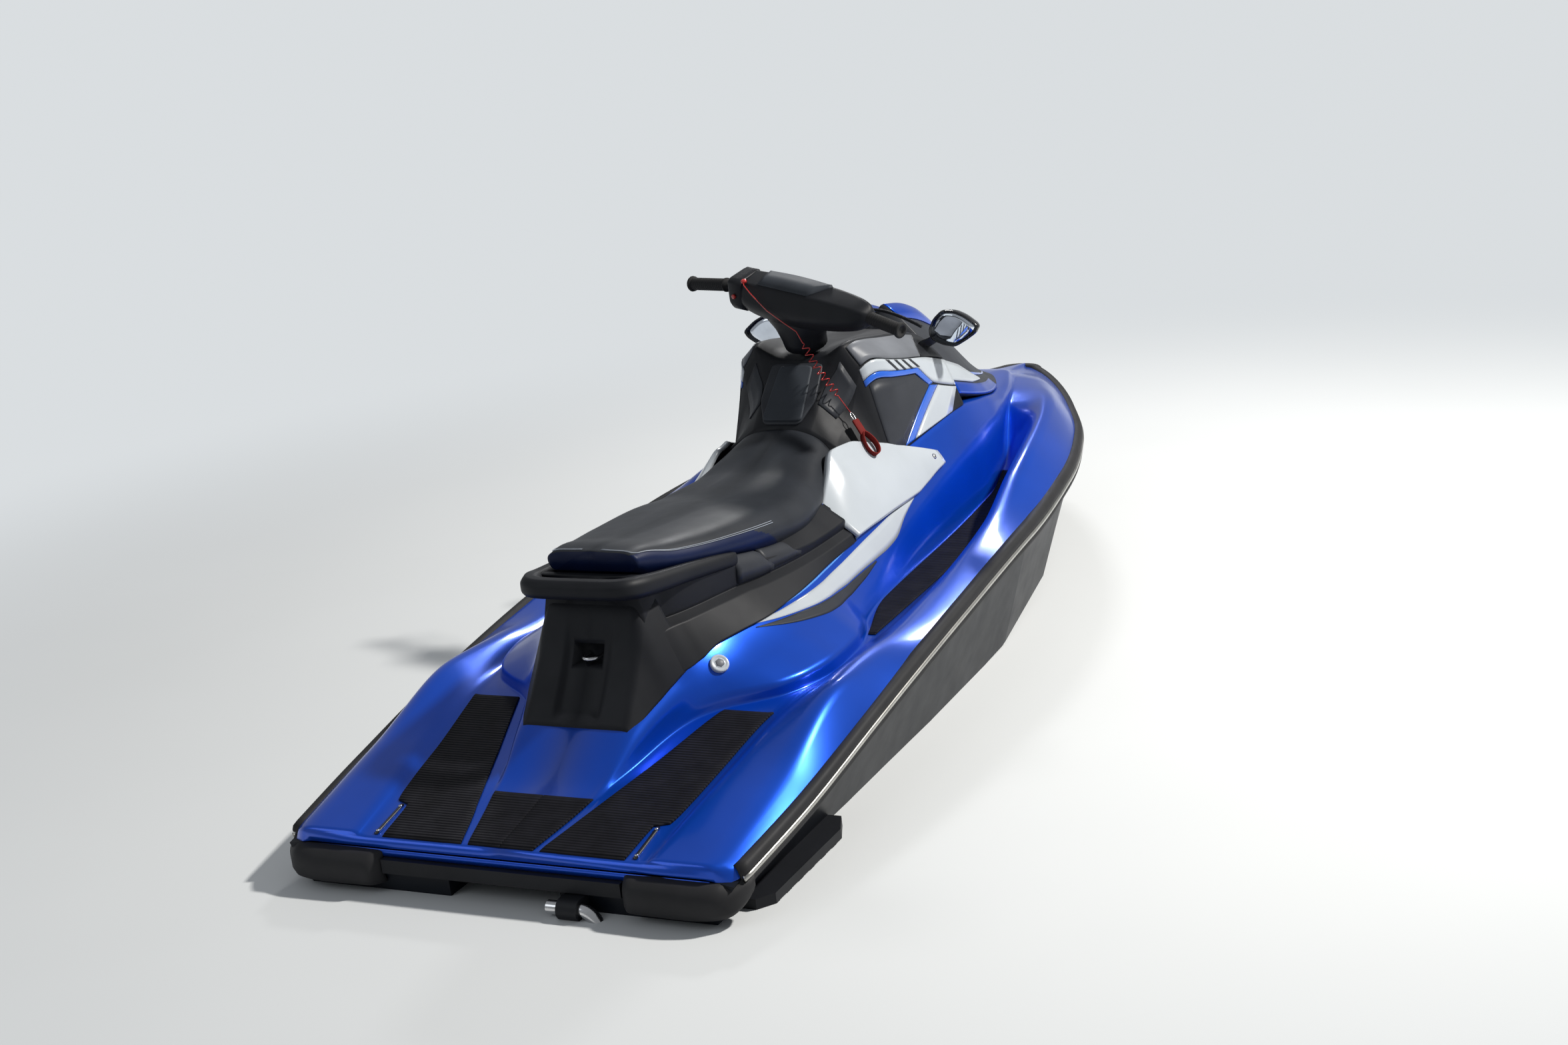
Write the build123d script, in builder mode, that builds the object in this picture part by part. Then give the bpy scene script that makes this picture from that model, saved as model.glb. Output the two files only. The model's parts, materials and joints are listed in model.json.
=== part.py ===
# Three-seat personal watercraft, afloat, in millimetres.
# +X points to the bow, +Y to port, +Z up. The origin is on the centre line, at mid-length, at the waterline.
import os
from collections import namedtuple
from math import atan2, cos, radians, sin

from build123d import *

os.makedirs("parts", exist_ok=True)

# Hull and deck
transom_x = -1500          # aft face of the hull
seam_drop = 18             # the hull and the deck meet this far under the footwell floor
seam_tuck = 0.11           # and this share of the half-breadth inboard of the rail
sheer_rise = 20            # the deck's edge stands straight above the rail by this much
sheer_inset = 8            # and leans inboard by this much
seat_gap = 0.3             # clearance of pieces that seat on each other
overrun = 5                # a cut reaches this far past the face it opens
above_z = 600              # clear of the deck and of the rail
pin_radius = 2.5           # pins of the lids' hinges

# One row for each cross-section of the hull, aft to fore. Half-breadths are measured from the centre line.
Frame = namedtuple("Frame", "x keel_z strake_y strake_z chine_y chine_z rail_y rail_z floor_z")
frames = [
    Frame(-1500, -262, 215, -190, 440, -105, 520, 42, 70),
    Frame(-1200, -262, 218, -186, 452, -95, 545, 90, 132),
    Frame(-900, -258, 220, -182, 462, -82, 556, 142, 186),
    Frame(-450, -248, 222, -172, 470, -60, 562, 202, 196),
    Frame(50, -236, 220, -156, 468, -32, 556, 248, 202),
    Frame(450, -212, 205, -126, 428, 8, 515, 268, 232),
    Frame(800, -160, 170, -70, 350, 58, 430, 276, 290),
    Frame(1100, -66, 120, 12, 240, 112, 305, 280, 300),
    Frame(1350, 76, 66, 120, 130, 180, 172, 286, 306),
    Frame(1500, 200, 24, 216, 46, 240, 66, 292, 308),
    Frame(1545, 258, 10, 264, 18, 274, 26, 292, 308),
]

# The deck's moulding. Its crest is the gunwale, the lip and the toe bound the well for feet and for boarding,
# and the skirt, the waist and the shoulder are the flank that carries the seat, the console and the hood.
Moulding = namedtuple("Moulding", "x crest_y crest_z lip_y lip_z toe_y toe_z skirt_y skirt_z waist_y waist_z"
                                  " shoulder_y shoulder_z")
mouldings = [
    Moulding(-1500, 478, 80, 346, 80, 334, 70, 130, 72, 100, 73, 80, 74),
    Moulding(-1310, 486, 125, 367, 123, 343, 109, 126, 111, 116, 113, 105, 115),
    Moulding(-1165, 488, 162, 385, 156, 353, 140, 153, 157, 150, 186, 128, 204),
    Moulding(-1030, 488, 211, 405, 190, 370, 172, 200, 196, 190, 246, 126, 300),
    Moulding(-980, 488, 225, 412, 200, 377, 181, 246, 208, 204, 261, 131, 371),
    Moulding(-940, 488, 233, 417, 205, 383, 185, 306, 214, 214, 270, 137, 380),
    Moulding(-850, 486, 235, 426, 211, 397, 189, 379, 219, 236, 286, 150, 391),
    Moulding(-740, 477, 229, 434, 214, 410, 191, 402, 222, 259, 298, 158, 397),
    Moulding(-540, 468, 216, 438, 206, 412, 195, 378, 216, 259, 317, 169, 405),
    Moulding(-300, 474, 234, 444, 226, 411, 198, 318, 206, 263, 325, 185, 417),
    Moulding(50, 466, 284, 436, 272, 402, 202, 304, 212, 284, 330, 212, 439),
    Moulding(300, 446, 344, 410, 330, 374, 214, 301, 226, 289, 347, 240, 462),
    Moulding(450, 428, 372, 390, 352, 348, 226, 298, 240, 290, 360, 248, 469),
    Moulding(620, 396, 388, 358, 364, 302, 256, 276, 268, 276, 374, 242, 448),
    Moulding(700, 378, 393, 339, 370, 276, 284, 256, 296, 260, 380, 234, 433),
    Moulding(770, 360, 396, 317, 378, 252, 326, 236, 338, 242, 384, 222, 422),
    Moulding(850, 337, 395, 284, 382, 226, 374, 216, 380, 219, 388, 204, 415),
    Moulding(950, 300, 385, 236, 384, 202, 386, 190, 390, 188, 393, 176, 410),
    Moulding(1100, 236, 366, 180, 376, 156, 378, 140, 382, 134, 387, 122, 402),
    Moulding(1350, 118, 330, 82, 336, 68, 338, 60, 340, 40, 342, 30, 345),
    Moulding(1500, 40, 312, 30, 314.5, 25, 315, 21, 316, 16, 317, 10, 318),
    Moulding(1545, 16, 313, 13, 314, 11, 315, 8, 316, 6, 317, 3, 318),
]
skirt_wall = 4             # the flank's foot stands off the well's floor by this much

# Front storage under the hood
bin_aft_x = 600
bin_fore_x = 900
bin_width = 280
bin_floor_z = 300

# Engine, as one block in its bay
engine_x = -120
engine_length = 520
engine_width = 300
engine_height = 310
engine_floor_z = -150
bay_room = 20

# Rubber rail round the seam, and the moulded corners it runs into at the stern
rail_aft_x = transom_x + 40
rail_height = 52
rail_depth = 10
rail_tuck = 4              # the rail is cut to the shell from this far inboard of it
bumper_low_z = -22
bumper_high_z = 48
bumper_slope = 22          # its top falls by this much towards its outer edge
bumper_plan = [(-1460, 480), (-1460, 534), (-1486, 526), (-1524, 500), (-1544, 440), (-1540, 300), (-1514, 282),
               (-1480, 282)]
strip_z = 18
strip_width = 560
strip_height = 30
strip_depth = 16

# Non-slip mats. Each row of a mat gives its two edges in plan.
mat_thick = 5
mat_lap = 8                # a mat is cut from a layer that starts this far under the floor
Edge = namedtuple("Edge", "x inner_y outer_y")
side_mat = [Edge(-1492, 92, 300), Edge(-1310, 150, 334), Edge(-1165, 197, 348), Edge(-1030, 240, 364),
            Edge(-968, 262, 374)]
centre_mat = [Edge(-1492, 0, 76), Edge(-1318, 0, 118)]
footwell_mat = [Edge(-540, 388, 406), Edge(-300, 326, 406), Edge(50, 312, 398), Edge(300, 308, 370),
                Edge(450, 305, 344), Edge(590, 286, 304)]

# Console between the seat and the hood. Its foot stands on the flanks.
Console = namedtuple("Console", "x top_z ridge_y ridge_z side_y side_z foot_y foot_z")
consoles = [
    Console(-100, 552, 70, 546, 150, 500, 206, 436),
    Console(-45, 604, 76, 596, 140, 520, 210, 436),
    Console(0, 646.5, 84, 636, 138, 556, 213, 437),
    Console(28, 672.9, 106, 680, 144, 604, 216, 438),
    Console(44, 688, 118, 724, 156, 660, 218, 439),
    Console(80, 698, 124, 730, 178, 678, 222, 442),
    Console(130, 702, 127, 725, 198, 666, 226, 446),
    Console(310, 692, 136, 695, 211, 628, 240, 460),
    Console(460, 672, 140, 654, 204, 588, 248, 469),
]
foot_sink = 20             # its foot is drawn this far into the deck, then cut to it
glove_aft_x = -66
glove_fore_x = 14
glove_width = 76
glove_floor_z = 500
lid_start = 13             # along the slope from the console's aft edge
lid_length = 166
lid_aft_half = 58
lid_fore_half = 46
lid_thick = 9
barrel_radius = 4.5
barrel_half = 40
barrel_start = 14
lug_width = 10
lug_radius = 5.5
panel_thick = 4
panel_rows = (80, 130, 310, 452)
Knee = namedtuple("Knee", "x top_y top_z mid_y mid_z low_y low_z")
knees = [
    Knee(-290, 180, 404, 230, 376, 268, 346),
    Knee(-210, 166, 466, 222, 412, 270, 348),
    Knee(-145, 154, 512, 220, 430, 272, 349),
    Knee(-80, 166, 512, 226, 432, 274, 350),
    Knee(50, 208, 474, 246, 416, 278, 350),
    Knee(180, 248, 424, 268, 400, 280, 372),
    Knee(240, 262, 400, 268, 393, 274, 385),
]
knee_thick = 7
knee_sink = 26

# Hood over the front storage
Hood = namedtuple("Hood", "x top_z ridge_y ridge_z edge_y edge_z crease_y crease_z foot_y foot_z")
hoods = [
    Hood(462, 712, 46, 738, 92, 700, 190, 590, 236, 490),
    Hood(550, 700, 45, 722, 94, 676, 193, 560, 240, 466),
    Hood(650, 672, 42, 690, 88, 640, 184, 524, 232, 442),
    Hood(750, 624, 36, 640, 72, 598, 164, 490, 214, 424),
    Hood(850, 566, 26, 578, 50, 553, 134, 460, 186, 414),
    Hood(950, 506, 15, 513, 28, 500, 98, 436, 146, 408),
    Hood(1040, 452, 8, 455, 14, 450, 58, 420, 98, 404),
    Hood(1086, 424, 4, 425, 9, 422, 28, 413, 50, 402),
]
hood_wall = 10
hood_sink = 6
hinge_x = 1092             # hinge at the hood's tip: barrel, and the deck's lugs either side of it
hinge_z = 412
hinge_radius = 6
hinge_half = 26
hinge_lug = 10
hinge_depth = 32           # the lugs reach this far down into the deck

# Seat and its base, on the flanks. The soft seat lies on the base.
Seat = namedtuple("Seat", "x foot_y foot_z seam_y seam_z crest_y crest_z top_z")
seats = [
    Seat(-1016, 104, 490, 108, 521, 88, 532, 534),
    Seat(-980, 114, 472, 118, 515, 98, 533, 537),
    Seat(-900, 136, 456, 143, 492, 118, 520, 528),
    Seat(-770, 166, 436, 175, 473, 146, 505, 517),
    Seat(-555, 192, 401, 201, 448, 168, 487, 502),
    Seat(-420, 194, 390, 202, 432, 170, 471, 490),
    Seat(-300, 176, 394, 184, 434, 152, 474, 496),
    Seat(-200, 152, 416, 157, 458, 128, 500, 522),
    Seat(-104, 128, 456, 132, 498, 104, 530, 552),
]
Trim = namedtuple("Trim", "x edge_y edge_z low_y low_z")
trims = [
    Trim(-1012, 150, 357, 176, 268),
    Trim(-980, 160, 361, 190, 276),
    Trim(-900, 182, 362, 214, 299),
    Trim(-760, 208, 360, 236, 306),
    Trim(-660, 220, 353, 244, 311),
    Trim(-440, 244, 347, 262, 322),
    Trim(-250, 246, 352, 268, 331),
    Trim(-170, 240, 366, 262, 342),
]
groove_rise = 12           # the groove over the trim's bright edge
groove_set = 12            # and its depth
trim_sink = 10

# Grab handle round the back of the seat: its middle line in plan with its half-width, and a band in side view
handle_outer = [(-1115, 0), (-1115, 92), (-1100, 122), (-1066, 146), (-900, 171), (-736, 192), (-728, 184)]
handle_inner = [(-734, 178), (-900, 139), (-1040, 108), (-1066, 92), (-1071, 60), (-1071, 0)]
handle_top = [(-1120, 496), (-1060, 492), (-900, 471), (-726, 440)]
handle_bottom = [(-726, 426), (-900, 443), (-1060, 456), (-1120, 460)]

# Cover over the flanks' aft slope, with the eye for a tow line in its recess
Cover = namedtuple("Cover", "x top_z edge_y edge_z foot_y foot_z")
covers = [
    Cover(-1172, 210, 120, 206, 136, 188),
    Cover(-1150, 236, 122, 230, 146, 196),
    Cover(-1110, 288, 122, 278, 160, 216),
    Cover(-1075, 346, 120, 332, 170, 236),
    Cover(-1055, 394, 120, 374, 175, 246),
    Cover(-1040, 424, 120, 394, 178, 254),
    Cover(-1014, 438, 122, 408, 184, 266),
]
recess_half = 36
recess_low_z = 302
recess_high_z = 350
recess_fore_x = -1044
eye_x = -1036
eye_z = 318
eye_half = 18
eye_reach = 30
eye_rod = 9

# Cap of the flushing port, starboard
cap_x = -940
cap_y = -229
cap_z = 252
cap_lean = 59
cap_dia = 42
cap_depth = 16

# Mirrors on the cowl's shoulders, outlined as seen from aft
mirror_x = 398
mirror_y = 262
mirror_z = 683
mirror_outline = [(194, 675), (200, 696), (220, 717), (250, 729), (290, 724), (320, 710), (332, 690), (324, 671),
                  (290, 649), (250, 637), (220, 643), (200, 656)]
Shell = namedtuple("Shell", "depth scale")
mirror_shell = [Shell(0, 1), Shell(16, 0.98), Shell(34, 0.84), Shell(48, 0.4)]
glass_scale = 0.91
glass_thick = 2
stalk_start = 10
stalk_width = 28
stalk = [(176, 640), (190, 616), (214, 650), (238, 668), (228, 690), (202, 676)]

# Steering
steer_rake = 20            # the column leans aft by this many degrees
steer_turn = 20            # how far the handlebar is turned to starboard as it floats
steer_x = 92
steer_z = 720
column_dia = 48
column_drop = 110
neck_low_y = 58
neck_low_x = 50
neck_high_y = 118
neck_high_x = 44
neck_height = 78
# The cover over the bar's middle: distance along the bar, faces fore and aft, and heights up the column
Cowling = namedtuple("Cowling", "along aft_x fore_x low_z high_z inset")
cowlings = [
    Cowling(-262, -16, 14, 114, 142, 4),
    Cowling(-250, -30, 26, 102, 152, 8),
    Cowling(-215, -42, 34, 90, 160, 14),
    Cowling(-120, -54, 42, 80, 167, 24),
    Cowling(0, -58, 48, 72, 169, 28),
    Cowling(100, -54, 44, 80, 170, 24),
    Cowling(137, -50, 42, 86, 170, 20),
]
pod_start = 137
pod_end = 190
pod_aft_x = -48
pod_fore_x = 42
pod_low_z = 86
pod_high_z = 172
pod_chamfer = 8
grip_start = 186
grip_start_z = 134
grip_end = 358
grip_end_z = 112
grip_sweep = 8
grip_dia = 34
flange_dia = 43
flange_length = 7
# A lever ahead of each grip, from the cover's face to its finger hook, as seen down the column
lever_height = 12
lever_drop = 12            # its height under the grip's root
lever_shift = 32           # the starboard one stands further out
lever_plan = [(20, 180), (30, 176), (62, 214), (58, 330), (48, 332), (50, 220), (24, 194)]

# Tunnel in the hull's bottom, and the jet pump in it
pump_z = -134
tunnel_width = 262
tunnel_front_x = -1010
tunnel_crown_z = 34
tunnel_depth = 420
tunnel_round = 30
impeller_dia = 156
impeller_length = 70
impeller_start = 4
impeller_blades = 3
blade_thick = 6
blade_twist = 70
hub_dia = 62
shaft_dia = 24
shaft_length = 470
housing_front_x = -1045
housing_wall = 8
housing_length = 130       # the wear ring and the stator
bore_gap = 2
flange_height = 150
flange_width = 222
stator_vanes = 7
vane_thick = 4
cone_length = 55           # the tail narrows to the nozzle
tail_length = 95
tail_dia = 96
nozzle_length = 80
nozzle_lap = 10            # the nozzle reaches this far ahead of its pivot
nozzle_room = 14           # its mouth is this much wider than the tail, so that it can turn
nozzle_wall = 6
nozzle_exit_dia = 84
nozzle_ratio = 0.85        # the nozzle turns by this share of the handlebar's angle
pivot_dia = 10
pivot_boss_dia = 24
bucket_lead = 62           # the bucket's pins stand this far ahead of the nozzle's pivot
nozzle_x = housing_front_x - housing_length - tail_length - 8
bucket_x = nozzle_x + bucket_lead
bucket_radius = 160
bucket_wall = 6
bucket_half = 104
bucket_up = 50             # the bucket is lifted clear of the jet by this angle
bucket_span = 56
arm_thick = 8
pin_dia = 14
knuckle = 20               # radius of the metal round the bucket's pins
knuckle_spread = 0.6

# Intake, ahead of the pump, and the plate behind it
intake_width = 170
intake_aft_x = -930
intake_fore_x = -470
intake_roof_z = -205
duct_rise = 78
below_keel_z = -300
plate_aft_x = -1336
plate_keel_z = -242
plate_side_z = -218
plate_thick = 14
grate_z = -258
bar_height = 10
bar_width = 9
bar_pitch = 26
rail_length = 12

# Sponsons, low on the hull's sides
sponson_low_z = -70
sponson_high_z = -18
sponson_plan = [(-1424, 430), (-1424, 520), (-1390, 546), (-1090, 546), (-1030, 520), (-1030, 430)]
notch_count = 6
notch_pitch = 52
notch_start_x = -1360
notch_length = 30
notch_depth = 28

# Boarding step: one bent tube that swings about its top length, to port of the centre line
step_x = -1532
step_z = -22
step_dia = 28
step_wall = 2.5
step_inner_y = -122
step_outer_y = -232
step_foot_z = -240
step_rung_y = -20
step_bend = 40
bracket_y = -150
bracket_width = 46
bracket_wall = 8

# Eye on the stem
eye_plate = 12
bow_eye_x = 1409
bow_eye_z = 106
bow_eye_radius = 19
bow_eye_hole = 8


rake = radians(steer_rake)
turn = radians(steer_turn)
nozzle_turn = turn * nozzle_ratio
steering = Plane(origin=(steer_x, 0, steer_z), x_dir=(cos(turn) * cos(rake), -sin(turn), cos(turn) * sin(rake)),
                 z_dir=(-sin(rake), 0, cos(rake)))

pump_axis = Plane(origin=(housing_front_x, 0, pump_z), x_dir=(0, 1, 0), z_dir=(-1, 0, 0))


hood_hinge = Plane(origin=(hinge_x, 0, hinge_z), x_dir=(1, 0, 0), z_dir=(0, 1, 0))


def hull_points(f):
    return [
        (0, f.keel_z),
        (f.strake_y, f.strake_z),
        (f.chine_y, f.chine_z),
        (f.rail_y, f.rail_z),
        (f.rail_y * (1 - seam_tuck), f.floor_z - seam_drop),
        (0, f.floor_z - seam_drop),
    ]


def deck_points(m):
    rail_y = between(frames, m.x, "rail_y")
    rail_z = between(frames, m.x, "rail_z")
    seam_z = between(frames, m.x, "floor_z") - seam_drop
    return [
        (0, seam_z),
        (rail_y * (1 - seam_tuck), seam_z),
        (rail_y, rail_z),
        (rail_y - sheer_inset, rail_z + sheer_rise),
        (m.crest_y, m.crest_z),
        (m.lip_y, m.lip_z),
        (m.toe_y, m.toe_z),
        (m.skirt_y + min(skirt_wall, (m.toe_y - m.skirt_y) / 2), m.toe_z + 1.3),
        (m.skirt_y, m.skirt_z),
        (m.waist_y, m.waist_z),
        (m.shoulder_y, m.shoulder_z),
        (0, m.shoulder_z),
    ]


def row_at(rows, x):
    """A row of a table at any station between its first and its last."""
    return type(rows[0])(x, *[between(rows, x, name) for name in rows[0]._fields[1:]])


def between(rows, x, name):
    """The value of one column at a station that may lie between two rows."""
    for a, b in zip(rows, rows[1:]):
        if a.x <= x <= b.x:
            share = (x - a.x) / (b.x - a.x)
            return getattr(a, name) * (1 - share) + getattr(b, name) * share
    raise ValueError(x)


def mat_rows(edges):
    """The rows of a mat, with one more at each of the deck's stations between them."""
    xs = sorted({e.x for e in edges} | {m.x for m in mouldings if edges[0].x < m.x < edges[-1].x})
    return [row_at(edges, x) for x in xs]


def outline(grow, aft):
    """Half of the plan of the seam, out from the centre line, grown by a rail's depth."""
    side = [(f.x, f.rail_y + grow) for f in frames if f.x > aft]
    aft_y = between(frames, max(aft, transom_x), "rail_y") + grow
    bow = frames[-1]
    return [(aft, 0), (aft, aft_y)] + side + [(bow.x + grow, bow.rail_y + grow), (bow.x + grow, 0)]


def sheer_band(low, high, aft):
    """Side view of a band that follows the seam."""
    xs = [aft] + [f.x for f in frames if f.x > aft] + [frames[-1].x + 60]
    zs = [between(frames, min(x, frames[-1].x), "rail_z") for x in xs]
    return [(x, z + low) for x, z in zip(xs, zs)] + [(x, z + high) for x, z in reversed(list(zip(xs, zs)))]


with BuildPart() as hull:
    for f in frames:
        with BuildSketch(Plane.YZ.offset(f.x)):
            Polygon(*hull_points(f), align=None)
    loft(ruled=True)
    mirror(about=Plane.XZ)
    # Tunnel for the jet pump, open aft and below
    with BuildSketch(Plane.YZ.offset(transom_x - overrun)):
        with Locations((0, tunnel_crown_z - tunnel_depth / 2)):
            RectangleRounded(tunnel_width, tunnel_depth, tunnel_round)
    extrude(amount=tunnel_front_x - transom_x + overrun, mode=Mode.SUBTRACT)
    # Intake duct, slanting up from the keel to the pump
    with BuildSketch(Plane.XZ.offset(-intake_width / 2)):
        Polygon((tunnel_front_x - overrun, pump_z + duct_rise), (tunnel_front_x - overrun, pump_z - duct_rise),
                (intake_aft_x, below_keel_z), (intake_fore_x, below_keel_z), (intake_fore_x, intake_roof_z),
                align=None)
    extrude(amount=intake_width, mode=Mode.SUBTRACT)
    # Bore of the drive shaft
    with BuildSketch(pump_axis):
        Circle(shaft_dia / 2 + seat_gap)
    extrude(amount=-shaft_length, mode=Mode.SUBTRACT)
    # Engine bay, closed by the deck
    with BuildSketch(Plane.XY.offset(engine_floor_z)):
        with Locations((engine_x, 0)):
            Rectangle(engine_length + 2 * bay_room, engine_width + 2 * bay_room)
    extrude(amount=above_z, mode=Mode.SUBTRACT)
hull.part.label = "hull"

with BuildPart() as engine_block:
    with BuildSketch(Plane.XY.offset(engine_floor_z)):
        with Locations((engine_x, 0)):
            Rectangle(engine_length, engine_width)
    extrude(amount=engine_height)
engine_block.part.label = "engine_block"

# The deck has the hull's stations too, so that the two meet along the whole seam
with BuildPart() as deck:
    for x in sorted({m.x for m in mouldings} | {f.x for f in frames}):
        with BuildSketch(Plane.YZ.offset(x)):
            Polygon(*deck_points(row_at(mouldings, x)), align=None)
    loft(ruled=True)
    mirror(about=Plane.XZ)
    # Front storage bin
    with BuildSketch(Plane.XY.offset(bin_floor_z)):
        with Locations(((bin_aft_x + bin_fore_x) / 2, 0)):
            Rectangle(bin_fore_x - bin_aft_x, bin_width)
    extrude(amount=above_z, mode=Mode.SUBTRACT)
    # Lugs and pins of the hood's hinge
    for side in (-1, 1):
        with BuildSketch(hood_hinge.offset(side * (hinge_half + seat_gap))):
            Circle(hinge_radius)
            Polygon((-hinge_radius, 0), (-hinge_radius, hinge_depth), (hinge_radius, hinge_depth),
                    (hinge_radius, 0), align=None)
        extrude(amount=side * hinge_lug)
        with BuildSketch(hood_hinge.offset(side * (hinge_half - hinge_lug))):
            Circle(pin_radius)
        extrude(amount=side * (hinge_lug + seat_gap + 1))
deck.part.label = "deck"

with BuildPart() as rub_rail:
    with BuildSketch(Plane.XY):
        Polygon(*outline(rail_depth, rail_aft_x), align=None)
        mirror(about=Plane.XZ)
        inner = outline(-rail_tuck, rail_aft_x - overrun)
        Polygon(*inner, align=None, mode=Mode.SUBTRACT)
        Polygon(*[(x, -y) for x, y in inner], align=None, mode=Mode.SUBTRACT)
    extrude(amount=above_z)
    with BuildSketch(Plane.XZ.offset(-above_z)):
        Polygon(*sheer_band(-rail_height / 2, rail_height / 2, rail_aft_x - overrun), align=None)
    extrude(amount=2 * above_z, mode=Mode.INTERSECT)
    add(hull.part, mode=Mode.SUBTRACT)
    add(deck.part, mode=Mode.SUBTRACT)
rub_rail.part.label = "rub_rail"

with BuildPart() as stern_bumpers:
    with BuildSketch(Plane.XY.offset(bumper_low_z)):
        Polygon(*bumper_plan, align=None)
    extrude(amount=bumper_high_z - bumper_low_z)
    aft_edges = stern_bumpers.faces().sort_by(Axis.Z)[-1].edges().sort_by(Axis.X)[:4]
    chamfer(aft_edges, bumper_slope, bumper_slope * 0.8)
    add(hull.part, mode=Mode.SUBTRACT)
    add(deck.part, mode=Mode.SUBTRACT)
    add(rub_rail.part, mode=Mode.SUBTRACT)
    add(stern_bumpers.solids().sort_by(SortBy.VOLUME)[-1], mode=Mode.REPLACE)
    mirror(about=Plane.XZ)
stern_bumpers.part.label = "stern_bumpers"

with BuildPart() as transom_strip:
    with BuildSketch(Plane.YZ.offset(transom_x)):
        with Locations((0, strip_z)):
            Rectangle(strip_width, strip_height)
    extrude(amount=-strip_depth)
transom_strip.part.label = "transom_strip"

# Non-slip mats. Each is drawn through the well's floor and cut to it.
with BuildPart() as platform_mats:
    for edges in (side_mat, centre_mat):
        for e in mat_rows(edges):
            floor = between(mouldings, e.x, "toe_z")
            with BuildSketch(Plane.YZ.offset(e.x)):
                Polygon((e.inner_y, floor - mat_lap), (e.outer_y, floor - mat_lap),
                        (e.outer_y, floor + mat_thick), (e.inner_y, floor + mat_thick), align=None)
        loft(ruled=True)
    add(deck.part, mode=Mode.SUBTRACT)
    mirror(about=Plane.XZ)
platform_mats.part.label = "platform_mats"

with BuildPart() as footwell_mats:
    for e in mat_rows(footwell_mat):
        floor = between(mouldings, e.x, "toe_z")
        with BuildSketch(Plane.YZ.offset(e.x)):
            Polygon((e.inner_y, floor - mat_lap), (e.outer_y, floor - mat_lap), (e.outer_y, floor + mat_thick),
                    (e.inner_y, floor + mat_thick), align=None)
    loft(ruled=True)
    add(deck.part, mode=Mode.SUBTRACT)
    mirror(about=Plane.XZ)
footwell_mats.part.label = "footwell_mats"

slope = atan2(consoles[4].top_z - consoles[0].top_z, consoles[4].x - consoles[0].x)
lid_plane = Plane(origin=(consoles[0].x, 0, consoles[0].top_z), x_dir=(cos(slope), 0, sin(slope)),
                  z_dir=(-sin(slope), 0, cos(slope)))
barrel = Plane(origin=lid_plane.from_local_coords((barrel_start, 0, barrel_radius + seat_gap)), x_dir=(1, 0, 0),
               z_dir=(0, 1, 0))

with BuildPart() as console:
    for c in consoles:
        with BuildSketch(Plane.YZ.offset(c.x)):
            Polygon((0, c.foot_z - foot_sink), (c.foot_y - foot_sink / 2, c.foot_z - foot_sink),
                    (c.foot_y, c.foot_z), (c.side_y, c.side_z), (c.ridge_y, c.ridge_z), (0, c.top_z), align=None)
    loft(ruled=True)
    mirror(about=Plane.XZ)
    add(deck.part, mode=Mode.SUBTRACT)
    # Glove box, under its lid
    with BuildSketch(Plane.XY.offset(glove_floor_z)):
        with Locations(((glove_aft_x + glove_fore_x) / 2, 0)):
            Rectangle(glove_fore_x - glove_aft_x, glove_width)
    extrude(amount=above_z, mode=Mode.SUBTRACT)
    # Lugs and pins of the lid's hinge
    for side in (-1, 1):
        with BuildSketch(barrel.offset(side * (barrel_half + seat_gap))):
            Circle(lug_radius)
        extrude(amount=side * lug_width)
        with BuildSketch(barrel.offset(side * (barrel_half - lug_width))):
            Circle(pin_radius)
        extrude(amount=side * (lug_width + seat_gap + 1))
    # Bore of the steering column
    with BuildSketch(steering.offset(-column_drop - overrun)):
        Circle(column_dia / 2 + seat_gap)
    extrude(amount=2 * column_drop, mode=Mode.SUBTRACT)
    add(console.solids().sort_by(SortBy.VOLUME)[-1], mode=Mode.REPLACE)
console.part.label = "console"

with BuildPart() as glovebox_lid:
    with BuildSketch(lid_plane.offset(seat_gap)):
        Polygon((lid_start, -lid_aft_half), (lid_start + lid_length, -lid_fore_half),
                (lid_start + lid_length, lid_fore_half), (lid_start, lid_aft_half), align=None)
    extrude(amount=lid_thick)
    chamfer(glovebox_lid.faces().sort_by(Axis.Z)[-1].edges(), lid_thick / 3)
    # Notches for the lugs, the barrel between them and its bore
    for side in (-1, 1):
        with BuildSketch(barrel.offset(side * barrel_half)):
            Circle(lug_radius + 2 * seat_gap)
        extrude(amount=side * (lug_width + 2), mode=Mode.SUBTRACT)
    with BuildSketch(barrel.offset(-barrel_half)):
        Circle(barrel_radius)
    extrude(amount=2 * barrel_half)
    for side in (-1, 1):
        with BuildSketch(barrel.offset(side * (barrel_half - lug_width - 1))):
            Circle(pin_radius + seat_gap)
        extrude(amount=side * (lug_width + 2), mode=Mode.SUBTRACT)
    add(console.part, mode=Mode.SUBTRACT)
    add(glovebox_lid.solids().sort_by(SortBy.VOLUME)[-1], mode=Mode.REPLACE)
glovebox_lid.part.label = "glovebox_lid"

with BuildPart() as cowl_panels:
    for x in panel_rows:
        c = row_at(consoles, x)
        with BuildSketch(Plane.YZ.offset(x)):
            Polygon((c.ridge_y, c.ridge_z - panel_thick), (c.ridge_y, c.ridge_z + panel_thick),
                    (c.side_y + panel_thick, c.side_z + panel_thick / 2),
                    (c.foot_y + panel_thick, c.foot_z + panel_thick),
                    (c.foot_y - panel_thick, c.foot_z + panel_thick), (c.side_y - panel_thick, c.side_z),
                    align=None)
    loft(ruled=True)
    add(console.part, mode=Mode.SUBTRACT)
    add(deck.part, mode=Mode.SUBTRACT)
    add(cowl_panels.solids().sort_by(SortBy.VOLUME)[-1], mode=Mode.REPLACE)
    mirror(about=Plane.XZ)
cowl_panels.part.label = "cowl_panels"

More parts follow.
